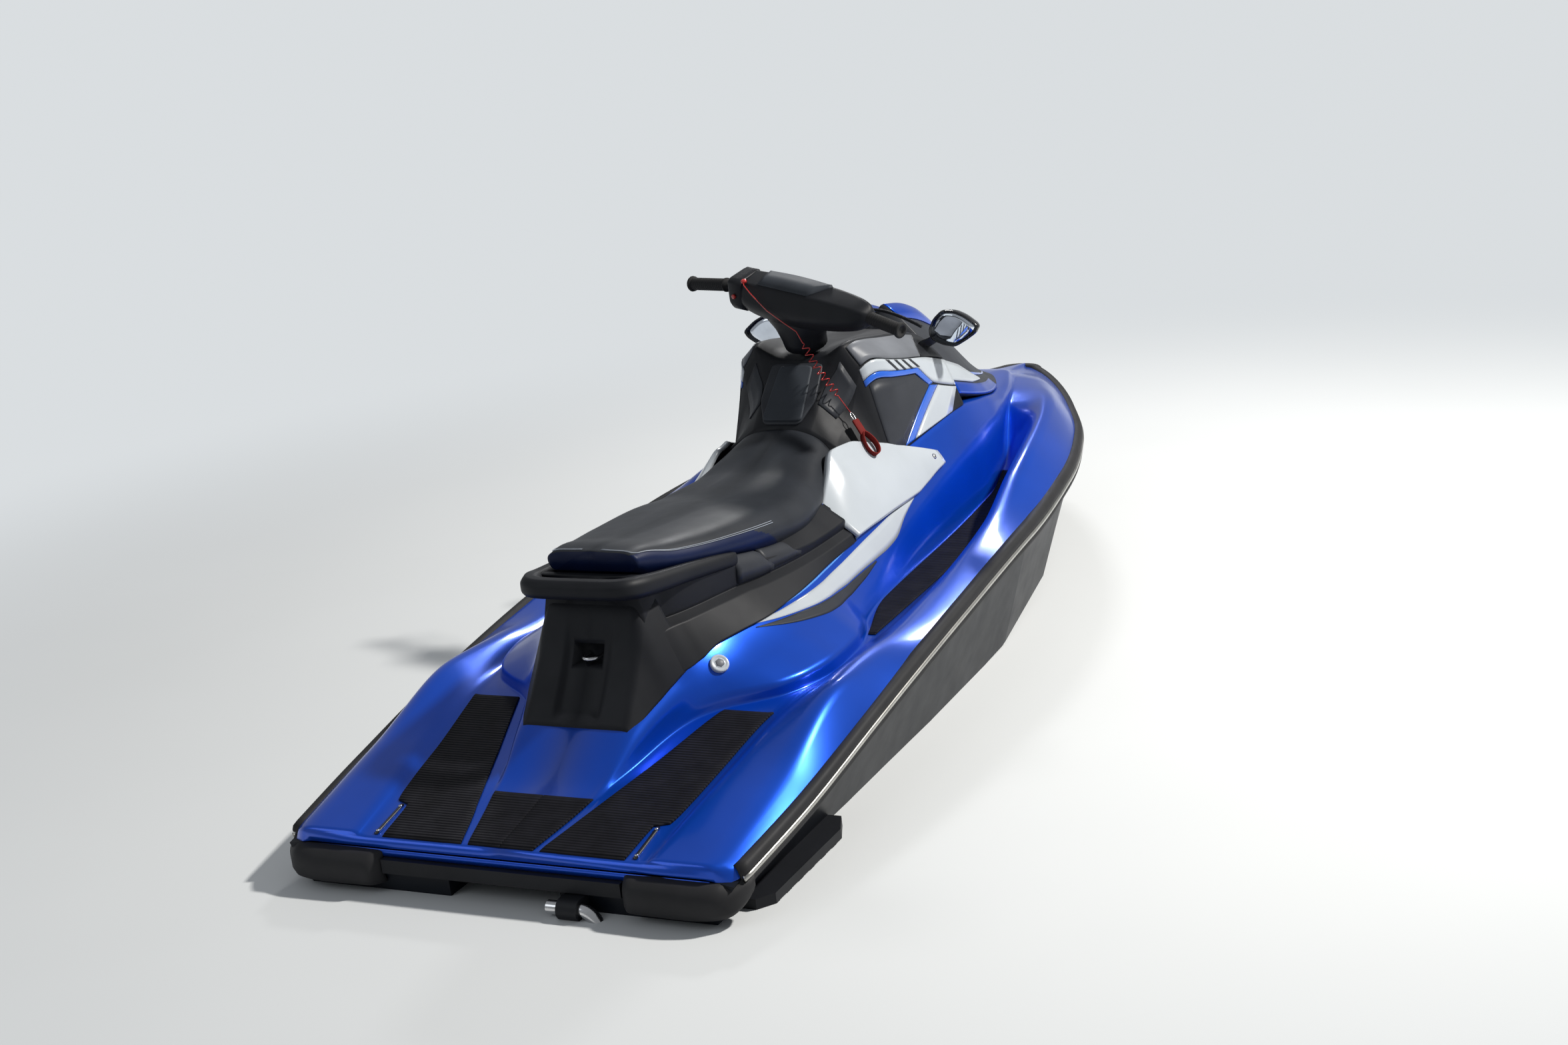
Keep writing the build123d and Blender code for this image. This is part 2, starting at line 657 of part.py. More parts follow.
with BuildPart() as knee_panels:
    for k in knees:
        with BuildSketch(Plane.YZ.offset(k.x)):
            Polygon((k.top_y - knee_sink, k.top_z - knee_thick), (k.top_y, k.top_z), (k.mid_y + 2, k.mid_z + 2),
                    (k.low_y + knee_thick, k.low_z), (k.low_y - knee_sink, k.low_z - 1),
                    (k.mid_y - knee_sink, k.mid_z - knee_sink), align=None)
    loft(ruled=True)
    add(console.part, mode=Mode.SUBTRACT)
    add(deck.part, mode=Mode.SUBTRACT)
    add(cowl_panels.part, mode=Mode.SUBTRACT)
    add(knee_panels.solids().sort_by(SortBy.VOLUME)[-1], mode=Mode.REPLACE)
    mirror(about=Plane.XZ)
knee_panels.part.label = "knee_panels"

with BuildPart() as hood_lid:
    for h in hoods:
        with BuildSketch(Plane.YZ.offset(h.x)):
            Polygon((0, h.foot_z - hood_sink), (h.foot_y, h.foot_z), (h.crease_y, h.crease_z),
                    (h.edge_y, h.edge_z), (h.ridge_y, h.ridge_z), (0, h.top_z), align=None)
    loft(ruled=True)
    for h in hoods[:-2]:
        wall = hood_wall if h.x > hoods[0].x else 2 * hood_wall
        with BuildSketch(Plane.YZ.offset(h.x + (hood_wall if h.x == hoods[0].x else 0))):
            Polygon((0, h.foot_z - 2 * hood_sink), (h.foot_y - hood_wall, h.foot_z - 2 * hood_sink),
                    (h.crease_y - hood_wall, h.crease_z - wall / 3),
                    (h.edge_y - hood_wall, h.edge_z - hood_wall), (0, h.top_z - hood_wall), align=None)
    loft(ruled=True, mode=Mode.SUBTRACT)
    mirror(about=Plane.XZ)
    add(deck.part, mode=Mode.SUBTRACT)
    add(console.part, mode=Mode.SUBTRACT)
    # Barrel of the hinge, its bore, and room for the lugs beside it
    with BuildSketch(hood_hinge.offset(-hinge_half)):
        Circle(hinge_radius)
    extrude(amount=2 * hinge_half)
    for side in (-1, 1):
        with BuildSketch(hood_hinge.offset(side * (hinge_half - hinge_lug - 1))):
            Circle(pin_radius + seat_gap)
        extrude(amount=side * (hinge_lug + overrun), mode=Mode.SUBTRACT)
        with BuildSketch(hood_hinge.offset(side * hinge_half)):
            Circle(hinge_radius + 2)
        extrude(amount=side * (hinge_lug + 2), mode=Mode.SUBTRACT)
    add(deck.part, mode=Mode.SUBTRACT)
    add(hood_lid.solids().sort_by(SortBy.VOLUME)[-1], mode=Mode.REPLACE)
hood_lid.part.label = "hood_lid"

with BuildPart() as seat_base:
    for t in trims:
        foot_y = between(seats, t.x, "foot_y")
        foot_z = between(seats, t.x, "foot_z")
        with BuildSketch(Plane.YZ.offset(t.x)):
            Polygon((0, t.low_z - trim_sink), (t.low_y - trim_sink, t.low_z - trim_sink), (t.low_y, t.low_z),
                    (t.edge_y, t.edge_z), (t.edge_y - groove_set, t.edge_z + groove_rise),
                    (foot_y, foot_z - groove_set), (foot_y - groove_set, foot_z), (0, foot_z), align=None)
    loft(ruled=True)
    mirror(about=Plane.XZ)
    add(deck.part, mode=Mode.SUBTRACT)
    add(knee_panels.part, mode=Mode.SUBTRACT)
    add(seat_base.solids().sort_by(SortBy.VOLUME)[-1], mode=Mode.REPLACE)
seat_base.part.label = "seat_base"

with BuildPart() as seat:
    for r in seats:
        with BuildSketch(Plane.YZ.offset(r.x)):
            Polygon((0, r.foot_z + seat_gap), (r.foot_y, r.foot_z + seat_gap), (r.seam_y, r.seam_z),
                    (r.crest_y, r.crest_z), (0, r.top_z), align=None)
    loft(ruled=True)
    mirror(about=Plane.XZ)
    add(console.part, mode=Mode.SUBTRACT)
    add(knee_panels.part, mode=Mode.SUBTRACT)
    add(seat_base.part, mode=Mode.SUBTRACT)
    add(deck.part, mode=Mode.SUBTRACT)
    add(seat.solids().sort_by(SortBy.VOLUME)[-1], mode=Mode.REPLACE)
seat.part.label = "seat"

with BuildPart() as grab_handle:
    with BuildSketch(Plane.XY.offset(handle_bottom[0][1] - 2 * above_z / 3)):
        Polygon(*handle_outer, *handle_inner, align=None)
    extrude(amount=above_z)
    with BuildSketch(Plane.XZ.offset(-above_z / 2)):
        Polygon(*handle_top, *handle_bottom, align=None)
    extrude(amount=above_z, mode=Mode.INTERSECT)
    add(seat.part, mode=Mode.SUBTRACT)
    add(seat_base.part, mode=Mode.SUBTRACT)
    add(grab_handle.solids().sort_by(SortBy.VOLUME)[-1], mode=Mode.REPLACE)
    mirror(about=Plane.XZ)
grab_handle.part.label = "grab_handle"

with BuildPart() as rear_cover:
    for c in covers:
        with BuildSketch(Plane.YZ.offset(c.x)):
            Polygon((0, c.foot_z - trim_sink), (c.foot_y - trim_sink, c.foot_z - trim_sink),
                    (c.foot_y, c.foot_z), (c.edge_y, c.edge_z), (0, c.top_z), align=None)
    loft(ruled=True)
    mirror(about=Plane.XZ)
    with BuildSketch(Plane.XZ.offset(-recess_half)):
        Polygon((covers[0].x, recess_low_z), (recess_fore_x, recess_low_z), (recess_fore_x, recess_high_z),
                (covers[0].x, recess_high_z), align=None)
    extrude(amount=2 * recess_half, mode=Mode.SUBTRACT)
    add(deck.part, mode=Mode.SUBTRACT)
    add(seat_base.part, mode=Mode.SUBTRACT)
    add(grab_handle.part, mode=Mode.SUBTRACT)
    add(rear_cover.solids().sort_by(SortBy.VOLUME)[-1], mode=Mode.REPLACE)
rear_cover.part.label = "rear_cover"

with BuildPart() as tow_eye:
    with BuildLine(Plane(origin=(eye_x, 0, eye_z), x_dir=(0, 1, 0), z_dir=(0, 0, 1))) as eye_path:
        near_leg = Line((-eye_half, 0), (-eye_half, eye_reach))
        eye_bend = ThreePointArc(near_leg @ 1, (0, eye_reach + eye_half), (eye_half, eye_reach))
        Line(eye_bend @ 1, (eye_half, 0))
    with BuildSketch(Plane(origin=eye_path.line @ 0, z_dir=eye_path.line % 0)):
        Circle(eye_rod / 2)
    sweep()
    add(rear_cover.part, mode=Mode.SUBTRACT)
    add(deck.part, mode=Mode.SUBTRACT)
    add(tow_eye.solids().sort_by(SortBy.VOLUME)[-1], mode=Mode.REPLACE)
tow_eye.part.label = "tow_eye"

with BuildPart() as flush_cap:
    lean = radians(cap_lean)
    with BuildSketch(Plane(origin=(cap_x, cap_y, cap_z), x_dir=(1, 0, 0), z_dir=(0, -cos(lean), sin(lean)))):
        Circle(cap_dia / 2)
    extrude(amount=cap_depth)
    chamfer(flush_cap.edges().filter_by(GeomType.CIRCLE).sort_by(Axis.Y)[0], 2)
    add(deck.part, mode=Mode.SUBTRACT)
flush_cap.part.label = "flush_cap"

def mirror_plan(scale):
    return [(mirror_y + (y - mirror_y) * scale, mirror_z + (z - mirror_z) * scale) for y, z in mirror_outline]


with BuildPart() as mirrors:
    for row in mirror_shell:
        with BuildSketch(Plane.YZ.offset(mirror_x + row.depth)):
            Polygon(*mirror_plan(row.scale), align=None)
    loft(ruled=True)
    with BuildSketch(Plane.YZ.offset(mirror_x + stalk_start)):
        Polygon(*stalk, align=None)
    extrude(amount=stalk_width)
    add(cowl_panels.part, mode=Mode.SUBTRACT)
    add(console.part, mode=Mode.SUBTRACT)
    add(mirrors.solids().sort_by(SortBy.VOLUME)[-1], mode=Mode.REPLACE)
    mirror(about=Plane.XZ)
mirrors.part.label = "mirrors"

with BuildPart() as mirror_glasses:
    with BuildSketch(Plane.YZ.offset(mirror_x)):
        Polygon(*mirror_plan(glass_scale), align=None)
    extrude(amount=-glass_thick)
    mirror(about=Plane.XZ)
mirror_glasses.part.label = "mirror_glasses"

# Steering: everything below is drawn about the column's axis, with the bar turned as it floats
with BuildPart() as steering_column:
    with BuildSketch(steering.offset(-column_drop)):
        Circle(column_dia / 2)
    extrude(amount=column_drop)
steering_column.part.label = "steering_column"


def across(along):
    """Plane across the bar, with its local x forward and its local y up the column."""
    return Plane(origin=steering.from_local_coords((0, along, 0)), x_dir=steering.x_dir, z_dir=-steering.y_dir)


with BuildPart() as bar_cover:
    for c in cowlings:
        mid_z = c.low_z + (c.high_z - c.low_z) * 0.42
        with BuildSketch(across(c.along)):
            Polygon((c.aft_x + 16, c.low_z), (c.aft_x, mid_z), (c.aft_x + c.inset, c.high_z - 3),
                    (c.fore_x - 8, c.high_z), (c.fore_x, mid_z), (c.fore_x - 14, c.low_z), align=None)
    loft(ruled=True)
    with BuildSketch(across(pod_start)):
        Polygon((pod_aft_x, pod_low_z), (pod_fore_x, pod_low_z), (pod_fore_x, pod_high_z),
                (pod_aft_x + pod_chamfer, pod_high_z), align=None)
    extrude(amount=pod_start - pod_end)
    with BuildSketch(steering):
        Ellipse(neck_low_x, neck_low_y)
    with BuildSketch(steering.offset(neck_height)):
        Ellipse(neck_high_x, neck_high_y)
    loft()
bar_cover.part.label = "bar_cover"

with BuildPart() as grips:
    for side in (-1, 1):
        start = Vector(*steering.from_local_coords((0, side * grip_start, grip_start_z)))
        end = Vector(*steering.from_local_coords((-grip_sweep, side * grip_end, grip_end_z)))
        length = (end - start).length
        bar_end = Plane(origin=start, z_dir=end - start)
        with BuildSketch(bar_end):
            Circle(grip_dia / 2)
        extrude(amount=length)
        with BuildSketch(bar_end.offset(length - flange_length)):
            Circle(flange_dia / 2)
        extrude(amount=flange_length)
    add(bar_cover.part, mode=Mode.SUBTRACT)
grips.part.label = "grips"

with BuildPart() as levers:
    for side, shift in ((-1, lever_shift), (1, 0)):
        with BuildSketch(steering.offset(grip_start_z - lever_drop - lever_height / 2)):
            Polygon(*[(fore, side * (along + shift)) for fore, along in lever_plan], align=None)
        extrude(amount=lever_height)
    add(bar_cover.part, mode=Mode.SUBTRACT)
levers.part.label = "levers"

# Jet pump
bore = impeller_dia / 2 + bore_gap
nozzle_mouth = tail_dia / 2 + nozzle_room / 2
pivot_reach = tail_dia / 2 + nozzle_room + nozzle_wall + overrun
with BuildPart() as pump_housing:
    with BuildSketch(pump_axis):
        Circle(bore + housing_wall)
    extrude(amount=housing_length)
    with BuildSketch(pump_axis.offset(housing_length)):
        Circle(bore + housing_wall)
    with BuildSketch(pump_axis.offset(housing_length + cone_length)):
        Circle(tail_dia / 2)
    loft()
    with BuildSketch(pump_axis.offset(housing_length + cone_length)):
        Circle(tail_dia / 2)
    extrude(amount=tail_length - cone_length)
    # Flange against the tunnel's front wall
    with BuildSketch(pump_axis.offset(housing_front_x - tunnel_front_x + seat_gap)):
        RectangleRounded(flange_width, flange_height, tunnel_round)
    extrude(amount=tunnel_front_x - housing_front_x - seat_gap)
    # Pivots of the reverse bucket
    with BuildSketch(Plane.XZ.offset(-bucket_half - arm_thick - overrun)):
        with Locations((bucket_x, pump_z)):
            Circle(pin_dia / 2)
    extrude(amount=2 * (bucket_half + arm_thick + overrun))
    with BuildSketch(Plane.XZ.offset(-bucket_half + seat_gap)):
        with Locations((bucket_x, pump_z)):
            Circle(pin_dia)
    extrude(amount=2 * (bucket_half - seat_gap))
    # Bosses and pins the nozzle turns on, above and below the tail
    with BuildSketch(Plane.XY.offset(pump_z - nozzle_mouth)):
        with Locations((nozzle_x, 0)):
            Circle(pivot_boss_dia / 2)
    extrude(amount=2 * nozzle_mouth)
    with BuildSketch(Plane.XY.offset(pump_z - pivot_reach)):
        with Locations((nozzle_x, 0)):
            Circle(pivot_dia / 2)
    extrude(amount=2 * pivot_reach)
    with BuildSketch(pump_axis.offset(housing_length + tail_length)):
        Circle(tail_dia / 2)
    extrude(amount=pivot_boss_dia, mode=Mode.SUBTRACT)
    # The bore, then the hub and the stator's vanes that fill it
    with BuildSketch(pump_axis.offset(housing_front_x - tunnel_front_x)):
        Circle(bore)
    extrude(amount=tunnel_front_x - housing_front_x + housing_length, mode=Mode.SUBTRACT)
    with BuildSketch(pump_axis.offset(housing_length)):
        Circle(bore)
    with BuildSketch(pump_axis.offset(housing_length + cone_length)):
        Circle(tail_dia / 2 - nozzle_wall)
    loft(mode=Mode.SUBTRACT)
    with BuildSketch(pump_axis.offset(housing_length + cone_length)):
        Circle(tail_dia / 2 - nozzle_wall)
    extrude(amount=tail_length - cone_length, mode=Mode.SUBTRACT)
    with BuildSketch(pump_axis.offset(impeller_length + 14)):
        Circle(hub_dia / 2)
    with BuildSketch(pump_axis.offset(housing_length + tail_length - 10)):
        Circle(hub_dia / 8)
    loft()
    with BuildSketch(pump_axis.offset(impeller_length + 18)):
        with PolarLocations((bore + hub_dia / 2) / 2, stator_vanes):
            Rectangle(bore - hub_dia / 2 + 6, vane_thick)
    extrude(amount=housing_length - impeller_length - 20)
pump_housing.part.label = "pump_housing"

with BuildPart() as impeller:
    with BuildSketch(pump_axis.offset(impeller_start)):
        Circle(hub_dia / 2)
    extrude(amount=impeller_length)
    for turn_count in range(impeller_blades):
        for depth, twist in ((10, 0), (impeller_length - 6, blade_twist)):
            angle = radians(twist + turn_count * 360 / impeller_blades)
            blade = Plane(origin=pump_axis.origin, x_dir=(0, cos(angle), sin(angle)), z_dir=(-1, 0, 0))
            with BuildSketch(blade.offset(depth)):
                with Locations((impeller_dia / 4 + hub_dia / 4 - 2, 0)):
                    Rectangle(impeller_dia / 2 - hub_dia / 2, blade_thick)
        loft(ruled=True)
    # Drive shaft, forward through the intake into the hull
    with BuildSketch(pump_axis.offset(impeller_start)):
        Circle(shaft_dia / 2)
    extrude(amount=-shaft_length)
impeller.part.label = "impeller"

nozzle_axis = Plane(origin=(nozzle_x, 0, pump_z), x_dir=(-sin(nozzle_turn), cos(nozzle_turn), 0),
                    z_dir=(-cos(nozzle_turn), -sin(nozzle_turn), 0))
with BuildPart() as nozzle:
    for grow, mode in ((nozzle_wall, Mode.ADD), (0, Mode.SUBTRACT)):
        with BuildSketch(nozzle_axis.offset(-nozzle_lap)):
            Circle(tail_dia / 2 + nozzle_room + grow)
        with BuildSketch(nozzle_axis.offset(nozzle_length)):
            Circle(nozzle_exit_dia / 2 + grow)
        loft(mode=mode)
    with BuildSketch(Plane.XY.offset(pump_z - pivot_reach)):
        with Locations((nozzle_x, 0)):
            Circle(pivot_dia / 2 + seat_gap)
    extrude(amount=2 * pivot_reach, mode=Mode.SUBTRACT)
nozzle.part.label = "nozzle"


def bucket_spot(radius, angle):
    return (bucket_x - radius * cos(angle), pump_z + radius * sin(angle))


low, middle, high = [radians(bucket_up + share * bucket_span / 2) for share in (-1, 0, 1)]
outer = bucket_radius + bucket_wall
with BuildPart() as reverse_bucket:
    with BuildSketch(Plane.XZ.offset(-bucket_half - arm_thick)):
        with BuildLine():
            ThreePointArc(bucket_spot(outer, low), bucket_spot(outer, middle), bucket_spot(outer, high))
            Line(bucket_spot(outer, high), bucket_spot(bucket_radius, high))
            ThreePointArc(bucket_spot(bucket_radius, high), bucket_spot(bucket_radius, middle),
                          bucket_spot(bucket_radius, low))
            Line(bucket_spot(bucket_radius, low), bucket_spot(outer, low))
        make_face()
    extrude(amount=2 * (bucket_half + arm_thick))
    for side in (-1, 1):
        with BuildSketch(Plane.XZ.offset(-side * bucket_half)):
            with BuildLine():
                ThreePointArc(bucket_spot(outer, low), bucket_spot(outer, middle), bucket_spot(outer, high))
                Polyline(bucket_spot(outer, high), bucket_spot(knuckle, high + knuckle_spread),
                         bucket_spot(-knuckle, middle), bucket_spot(knuckle, low - knuckle_spread),
                         bucket_spot(outer, low))
            make_face()
            with Locations((bucket_x, pump_z)):
                Circle(pin_dia / 2 + seat_gap, mode=Mode.SUBTRACT)
        extrude(amount=-side * arm_thick)
reverse_bucket.part.label = "reverse_bucket"

with BuildPart() as ride_plate:
    plate_half = tunnel_width / 2 - seat_gap
    with BuildSketch(Plane.YZ.offset(plate_aft_x)):
        Polygon((0, plate_keel_z), (plate_half, plate_side_z), (plate_half, plate_side_z + plate_thick),
                (0, plate_keel_z + plate_thick), (-plate_half, plate_side_z + plate_thick),
                (-plate_half, plate_side_z), align=None)
    extrude(amount=tunnel_front_x - seat_gap - plate_aft_x)
ride_plate.part.label = "ride_plate"

with BuildPart() as intake_grate:
    grate_half = intake_width / 2 - seat_gap
    deadrise = (frames[2].strake_z - frames[2].keel_z) / frames[2].strake_y
    edge_z = grate_z + grate_half * deadrise
    for x in (intake_fore_x - rail_length - 2, intake_aft_x + 40):
        with BuildSketch(Plane.YZ.offset(x)):
            Polygon((0, grate_z), (grate_half, edge_z), (grate_half, edge_z + bar_height), (0, grate_z + bar_height),
                    (-grate_half, edge_z + bar_height), (-grate_half, edge_z), align=None)
        extrude(amount=rail_length)
    for count in (-2, -1, 0, 1, 2):
        with BuildSketch(Plane.XY.offset(grate_z + abs(count) * bar_pitch * deadrise)):
            with Locations(((intake_fore_x + intake_aft_x) / 2 + rail_length, count * bar_pitch)):
                Rectangle(intake_fore_x - intake_aft_x - 2.5 * rail_length, bar_width)
        extrude(amount=bar_height)
intake_grate.part.label = "intake_grate"

with BuildPart() as sponsons:
    sponson_height = sponson_high_z - sponson_low_z
    with BuildSketch(Plane.XY.offset(sponson_low_z)):
        Polygon(*sponson_plan, align=None)
    extrude(amount=sponson_height)
    with BuildSketch(Plane.XY.offset(sponson_low_z - overrun)):
        with Locations(*[(notch_start_x + notch_pitch * n, sponson_plan[2][1]) for n in range(notch_count)]):
            Rectangle(notch_length, notch_depth)
    extrude(amount=sponson_height * 0.7, mode=Mode.SUBTRACT)
    add(hull.part, mode=Mode.SUBTRACT)
    mirror(about=Plane.XZ)
sponsons.part.label = "sponsons"

with BuildPart() as boarding_step:
    with BuildLine() as step_path:
        FilletPolyline((step_x, step_inner_y, step_z), (step_x, step_outer_y, step_z),
                       (step_x, step_outer_y, step_foot_z), (step_x, step_rung_y, step_foot_z), radius=step_bend)
    with BuildSketch(Plane(origin=step_path.line @ 0, z_dir=step_path.line % 0)):
        Circle(step_dia / 2)
        Circle(step_dia / 2 - step_wall, mode=Mode.SUBTRACT)
    sweep()
boarding_step.part.label = "boarding_step"

with BuildPart() as step_bracket:
    knuckle_radius = step_dia / 2 + bracket_wall
    with BuildSketch(Plane.XZ.offset(-bracket_y)):
        with Locations((step_x, step_z)):
            Circle(knuckle_radius)
        Polygon((step_x, step_z - knuckle_radius), (step_x, step_z + knuckle_radius),
                (transom_x, step_z + knuckle_radius), (transom_x, step_z - knuckle_radius), align=None)
        with Locations((step_x, step_z)):
            Circle(step_dia / 2 + seat_gap, mode=Mode.SUBTRACT)
    extrude(amount=bracket_width)
step_bracket.part.label = "step_bracket"

with BuildPart() as bow_eye:
    with BuildSketch(Plane.XZ.offset(-eye_plate / 2)):
        with Locations((bow_eye_x, bow_eye_z)):
            Circle(bow_eye_radius)
            Circle(bow_eye_hole, mode=Mode.SUBTRACT)
    extrude(amount=eye_plate)
    add(hull.part, mode=Mode.SUBTRACT)
bow_eye.part.label = "bow_eye"

pieces = (hull, deck, engine_block, rub_rail, stern_bumpers, transom_strip, platform_mats, footwell_mats,
          console, glovebox_lid, cowl_panels, knee_panels, hood_lid, seat_base, seat, grab_handle, rear_cover,
          tow_eye, flush_cap, mirrors, mirror_glasses, steering_column, bar_cover, grips, levers, pump_housing,
          impeller,
          nozzle, reverse_bucket, ride_plate, intake_grate, sponsons, boarding_step, step_bracket, bow_eye)
for piece in pieces:
    print(piece.part.label, piece.part.is_valid, round(piece.part.volume / 1e9, 6), len(piece.part.solids()))
    export_step(piece.part, f"parts/{piece.part.label}.step")
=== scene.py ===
# A three-seat personal watercraft, afloat, in metres. +X points to the bow, +Y to port, +Z up.
# The origin is on the centre line, at mid-length, at the waterline. The pale floor lies a little lower.
import json
from bisect import bisect_right
from math import cos, pi, radians, sin

import bmesh
import bpy
from mathutils import Matrix, Vector


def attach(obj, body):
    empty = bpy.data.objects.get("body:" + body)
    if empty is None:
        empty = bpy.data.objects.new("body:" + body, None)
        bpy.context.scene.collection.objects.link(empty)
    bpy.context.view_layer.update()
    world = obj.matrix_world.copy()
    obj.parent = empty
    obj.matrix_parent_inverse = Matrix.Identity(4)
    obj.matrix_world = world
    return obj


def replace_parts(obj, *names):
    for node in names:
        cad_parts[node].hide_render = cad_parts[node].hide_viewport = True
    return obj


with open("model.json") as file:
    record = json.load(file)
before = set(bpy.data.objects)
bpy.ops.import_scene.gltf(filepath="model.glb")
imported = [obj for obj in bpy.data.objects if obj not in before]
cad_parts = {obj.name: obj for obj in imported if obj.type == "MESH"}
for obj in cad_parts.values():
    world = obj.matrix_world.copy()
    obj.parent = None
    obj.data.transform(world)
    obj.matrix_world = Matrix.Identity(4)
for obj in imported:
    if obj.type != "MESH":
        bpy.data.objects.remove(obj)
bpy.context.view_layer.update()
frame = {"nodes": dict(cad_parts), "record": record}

ROOT = "craft"
PORT_AND_STARBOARD = (("port", 1), ("starboard", -1))
UP = Vector((0, 0, 1))

# Camera, solved from the photograph
camera_place = Vector((-4.9, -2.52, 1.84))
camera_heading = radians(27.9)     # from +X towards +Y
camera_drop = radians(15.7)
camera_roll = radians(7.0)
photo_width = 2352
focal_pixels = 3444
sensor_width = 36


def clamp(value):
    return min(1, max(0, value))


def circle(count):
    """Angles round a full turn."""
    return [i / count * 2 * pi for i in range(count)]


def stations(start, end, step):
    """Evenly spread values from start to end, about a step apart."""
    count = max(2, round((end - start) / step) + 1)
    return [start + (end - start) * i / (count - 1) for i in range(count)]


def add_to_scene(name, data):
    made = bpy.data.objects.new(name, data)
    bpy.context.collection.objects.link(made)
    return made


def make_camera():
    data = bpy.data.cameras.new("camera")
    data.sensor_width = sensor_width
    data.lens = focal_pixels / photo_width * sensor_width
    data.clip_start = 0.05
    camera = add_to_scene("camera", data)
    level = cos(camera_drop)
    ahead = Vector((level * cos(camera_heading), level * sin(camera_heading), -sin(camera_drop)))
    right = ahead.cross(UP).normalized()
    down = ahead.cross(right)
    rolled_right = right * cos(camera_roll) + down * sin(camera_roll)
    rolled_down = down * cos(camera_roll) - right * sin(camera_roll)
    turn = Matrix((rolled_right, -rolled_down, -ahead)).transposed().to_4x4()
    camera.matrix_world = Matrix.Translation(camera_place) @ turn
    bpy.context.scene.camera = camera


def smooth_line(points):
    """A function of x through the points, smooth and without overshoot, for each of the other columns."""
    xs = [p[0] for p in points]
    curves = []
    for column in zip(*[p[1:] for p in points]):
        steps = [(column[i + 1] - column[i]) / (xs[i + 1] - xs[i]) for i in range(len(xs) - 1)]
        slopes = [steps[0]]
        for before, after in zip(steps, steps[1:]):
            slopes.append(2 * before * after / (before + after) if before * after > 0 else 0.0)
        curves.append((column, slopes + [steps[-1]]))

    def at(x):
        x = min(max(x, xs[0]), xs[-1])
        i = min(max(bisect_right(xs, x) - 1, 0), len(xs) - 2)
        h = xs[i + 1] - xs[i]
        t = (x - xs[i]) / h
        values = []
        for column, slopes in curves:
            values.append(column[i] * (1 + 2 * t) * (1 - t) ** 2 + column[i + 1] * t * t * (3 - 2 * t)
                          + slopes[i] * h * t * (1 - t) ** 2 + slopes[i + 1] * h * t * t * (t - 1))
        return values
    return at


def line_mm(*rows):
    """A smooth line through rows in whole millimetres."""
    return smooth_line([[value / 1000 for value in row] for row in rows])


def rounded(points, cuts, steps=5):
    """A polyline with its corners rounded. Each corner is cut this far back along both its sides."""
    points = [Vector(p) for p in points]
    made = [points[0]]
    for before, corner, after, cut in zip(points, points[1:], points[2:], cuts):
        back = before - corner
        on = after - corner
        start = corner + back.normalized() * min(cut, back.length * 0.48) if back.length > 1e-9 else corner
        end = corner + on.normalized() * min(cut, on.length * 0.48) if on.length > 1e-9 else corner
        for step in range(steps + 1):
            t = step / steps
            made.append(start * (1 - t) ** 2 + corner * 2 * t * (1 - t) + end * t * t)
    return made + [points[-1]]


def across(x, corners, cuts):
    """A rounded section at x through corners of (y, z)."""
    return rounded([(x, y, z) for y, z in corners], cuts)


def skin(name, sections, finish, body=ROOT, slot="", closed=True, both=True, place=None):
    """A surface with closed ends through sections, which have equal numbers of points.

    Half sections are mirrored where both is true. The slot argument is not used.
    """
    maker = bmesh.new()
    for side in ((1, -1) if both else (1,)):
        rows = []
        for section in sections:
            rows.append([maker.verts.new((p[0], side * p[1], p[2])) for p in section])
        count = len(rows[0])
        spans = [(i, (i + 1) % count) for i in range(count if closed else count - 1)]
        for near, far in zip(rows, rows[1:]):
            for i, j in spans:
                corners = (near[i], near[j], far[j], far[i])
                maker.faces.new(corners if side > 0 else corners[::-1])
        maker.faces.new(rows[0][::-1] if side > 0 else rows[0])
        maker.faces.new(rows[-1] if side > 0 else rows[-1][::-1])
    bmesh.ops.remove_doubles(maker, verts=maker.verts, dist=1e-5)
    bmesh.ops.dissolve_degenerate(maker, edges=maker.edges, dist=1e-6)
    bmesh.ops.recalc_face_normals(maker, faces=maker.faces)
    mesh = bpy.data.meshes.new(name)
    maker.to_mesh(mesh)
    maker.free()
    if place is not None:
        mesh.transform(place)
    mesh.polygons.foreach_set("use_smooth", [True] * len(mesh.polygons))
    mesh.update()
    piece = add_to_scene(name, mesh)
    mesh.materials.append(paints[finish][1])
    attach(piece, body)
    slot = slot or paints[finish][0]
    return piece


def pipe(name, points, radius, finish, body=ROOT, slot="", count=8, both=True):
    """A round line through points. It is mirrored where both is true."""
    points = [Vector(p) for p in points]
    sections = []
    for i, point in enumerate(points):
        ahead = (points[min(i + 1, len(points) - 1)] - points[max(i - 1, 0)]).normalized()
        side = ahead.cross(Vector((0.1, 0.2, 1))).normalized()
        over = side.cross(ahead)
        sections.append([point + (side * cos(a) + over * sin(a)) * radius for a in circle(count)])
    return skin(name, sections, finish, body, slot, both=both)


def turned(name, rings, start, end, finish, body=ROOT, slot="", count=24):
    """A round piece from start to end, through rings of (share of the way, radius)."""
    axis = Vector(end) - Vector(start)
    side = axis.orthogonal().normalized()
    other = axis.normalized().cross(side)
    sections = []
    for share, radius in rings:
        centre = Vector(start) + axis * share
        sections.append([centre + (side * cos(a) + other * sin(a)) * radius for a in circle(count)])
    return skin(name, sections, finish, body, slot, both=False)


def screw_pair(name, place, axis, rings, count):
    """A screw head on each side, at a place given for the port side."""
    for word, side in PORT_AND_STARBOARD:
        mirror = Vector((1, side, 1))
        spot = place * mirror
        turned(name + word, rings, spot, spot + axis * mirror, "steel", count=count)


# Materials

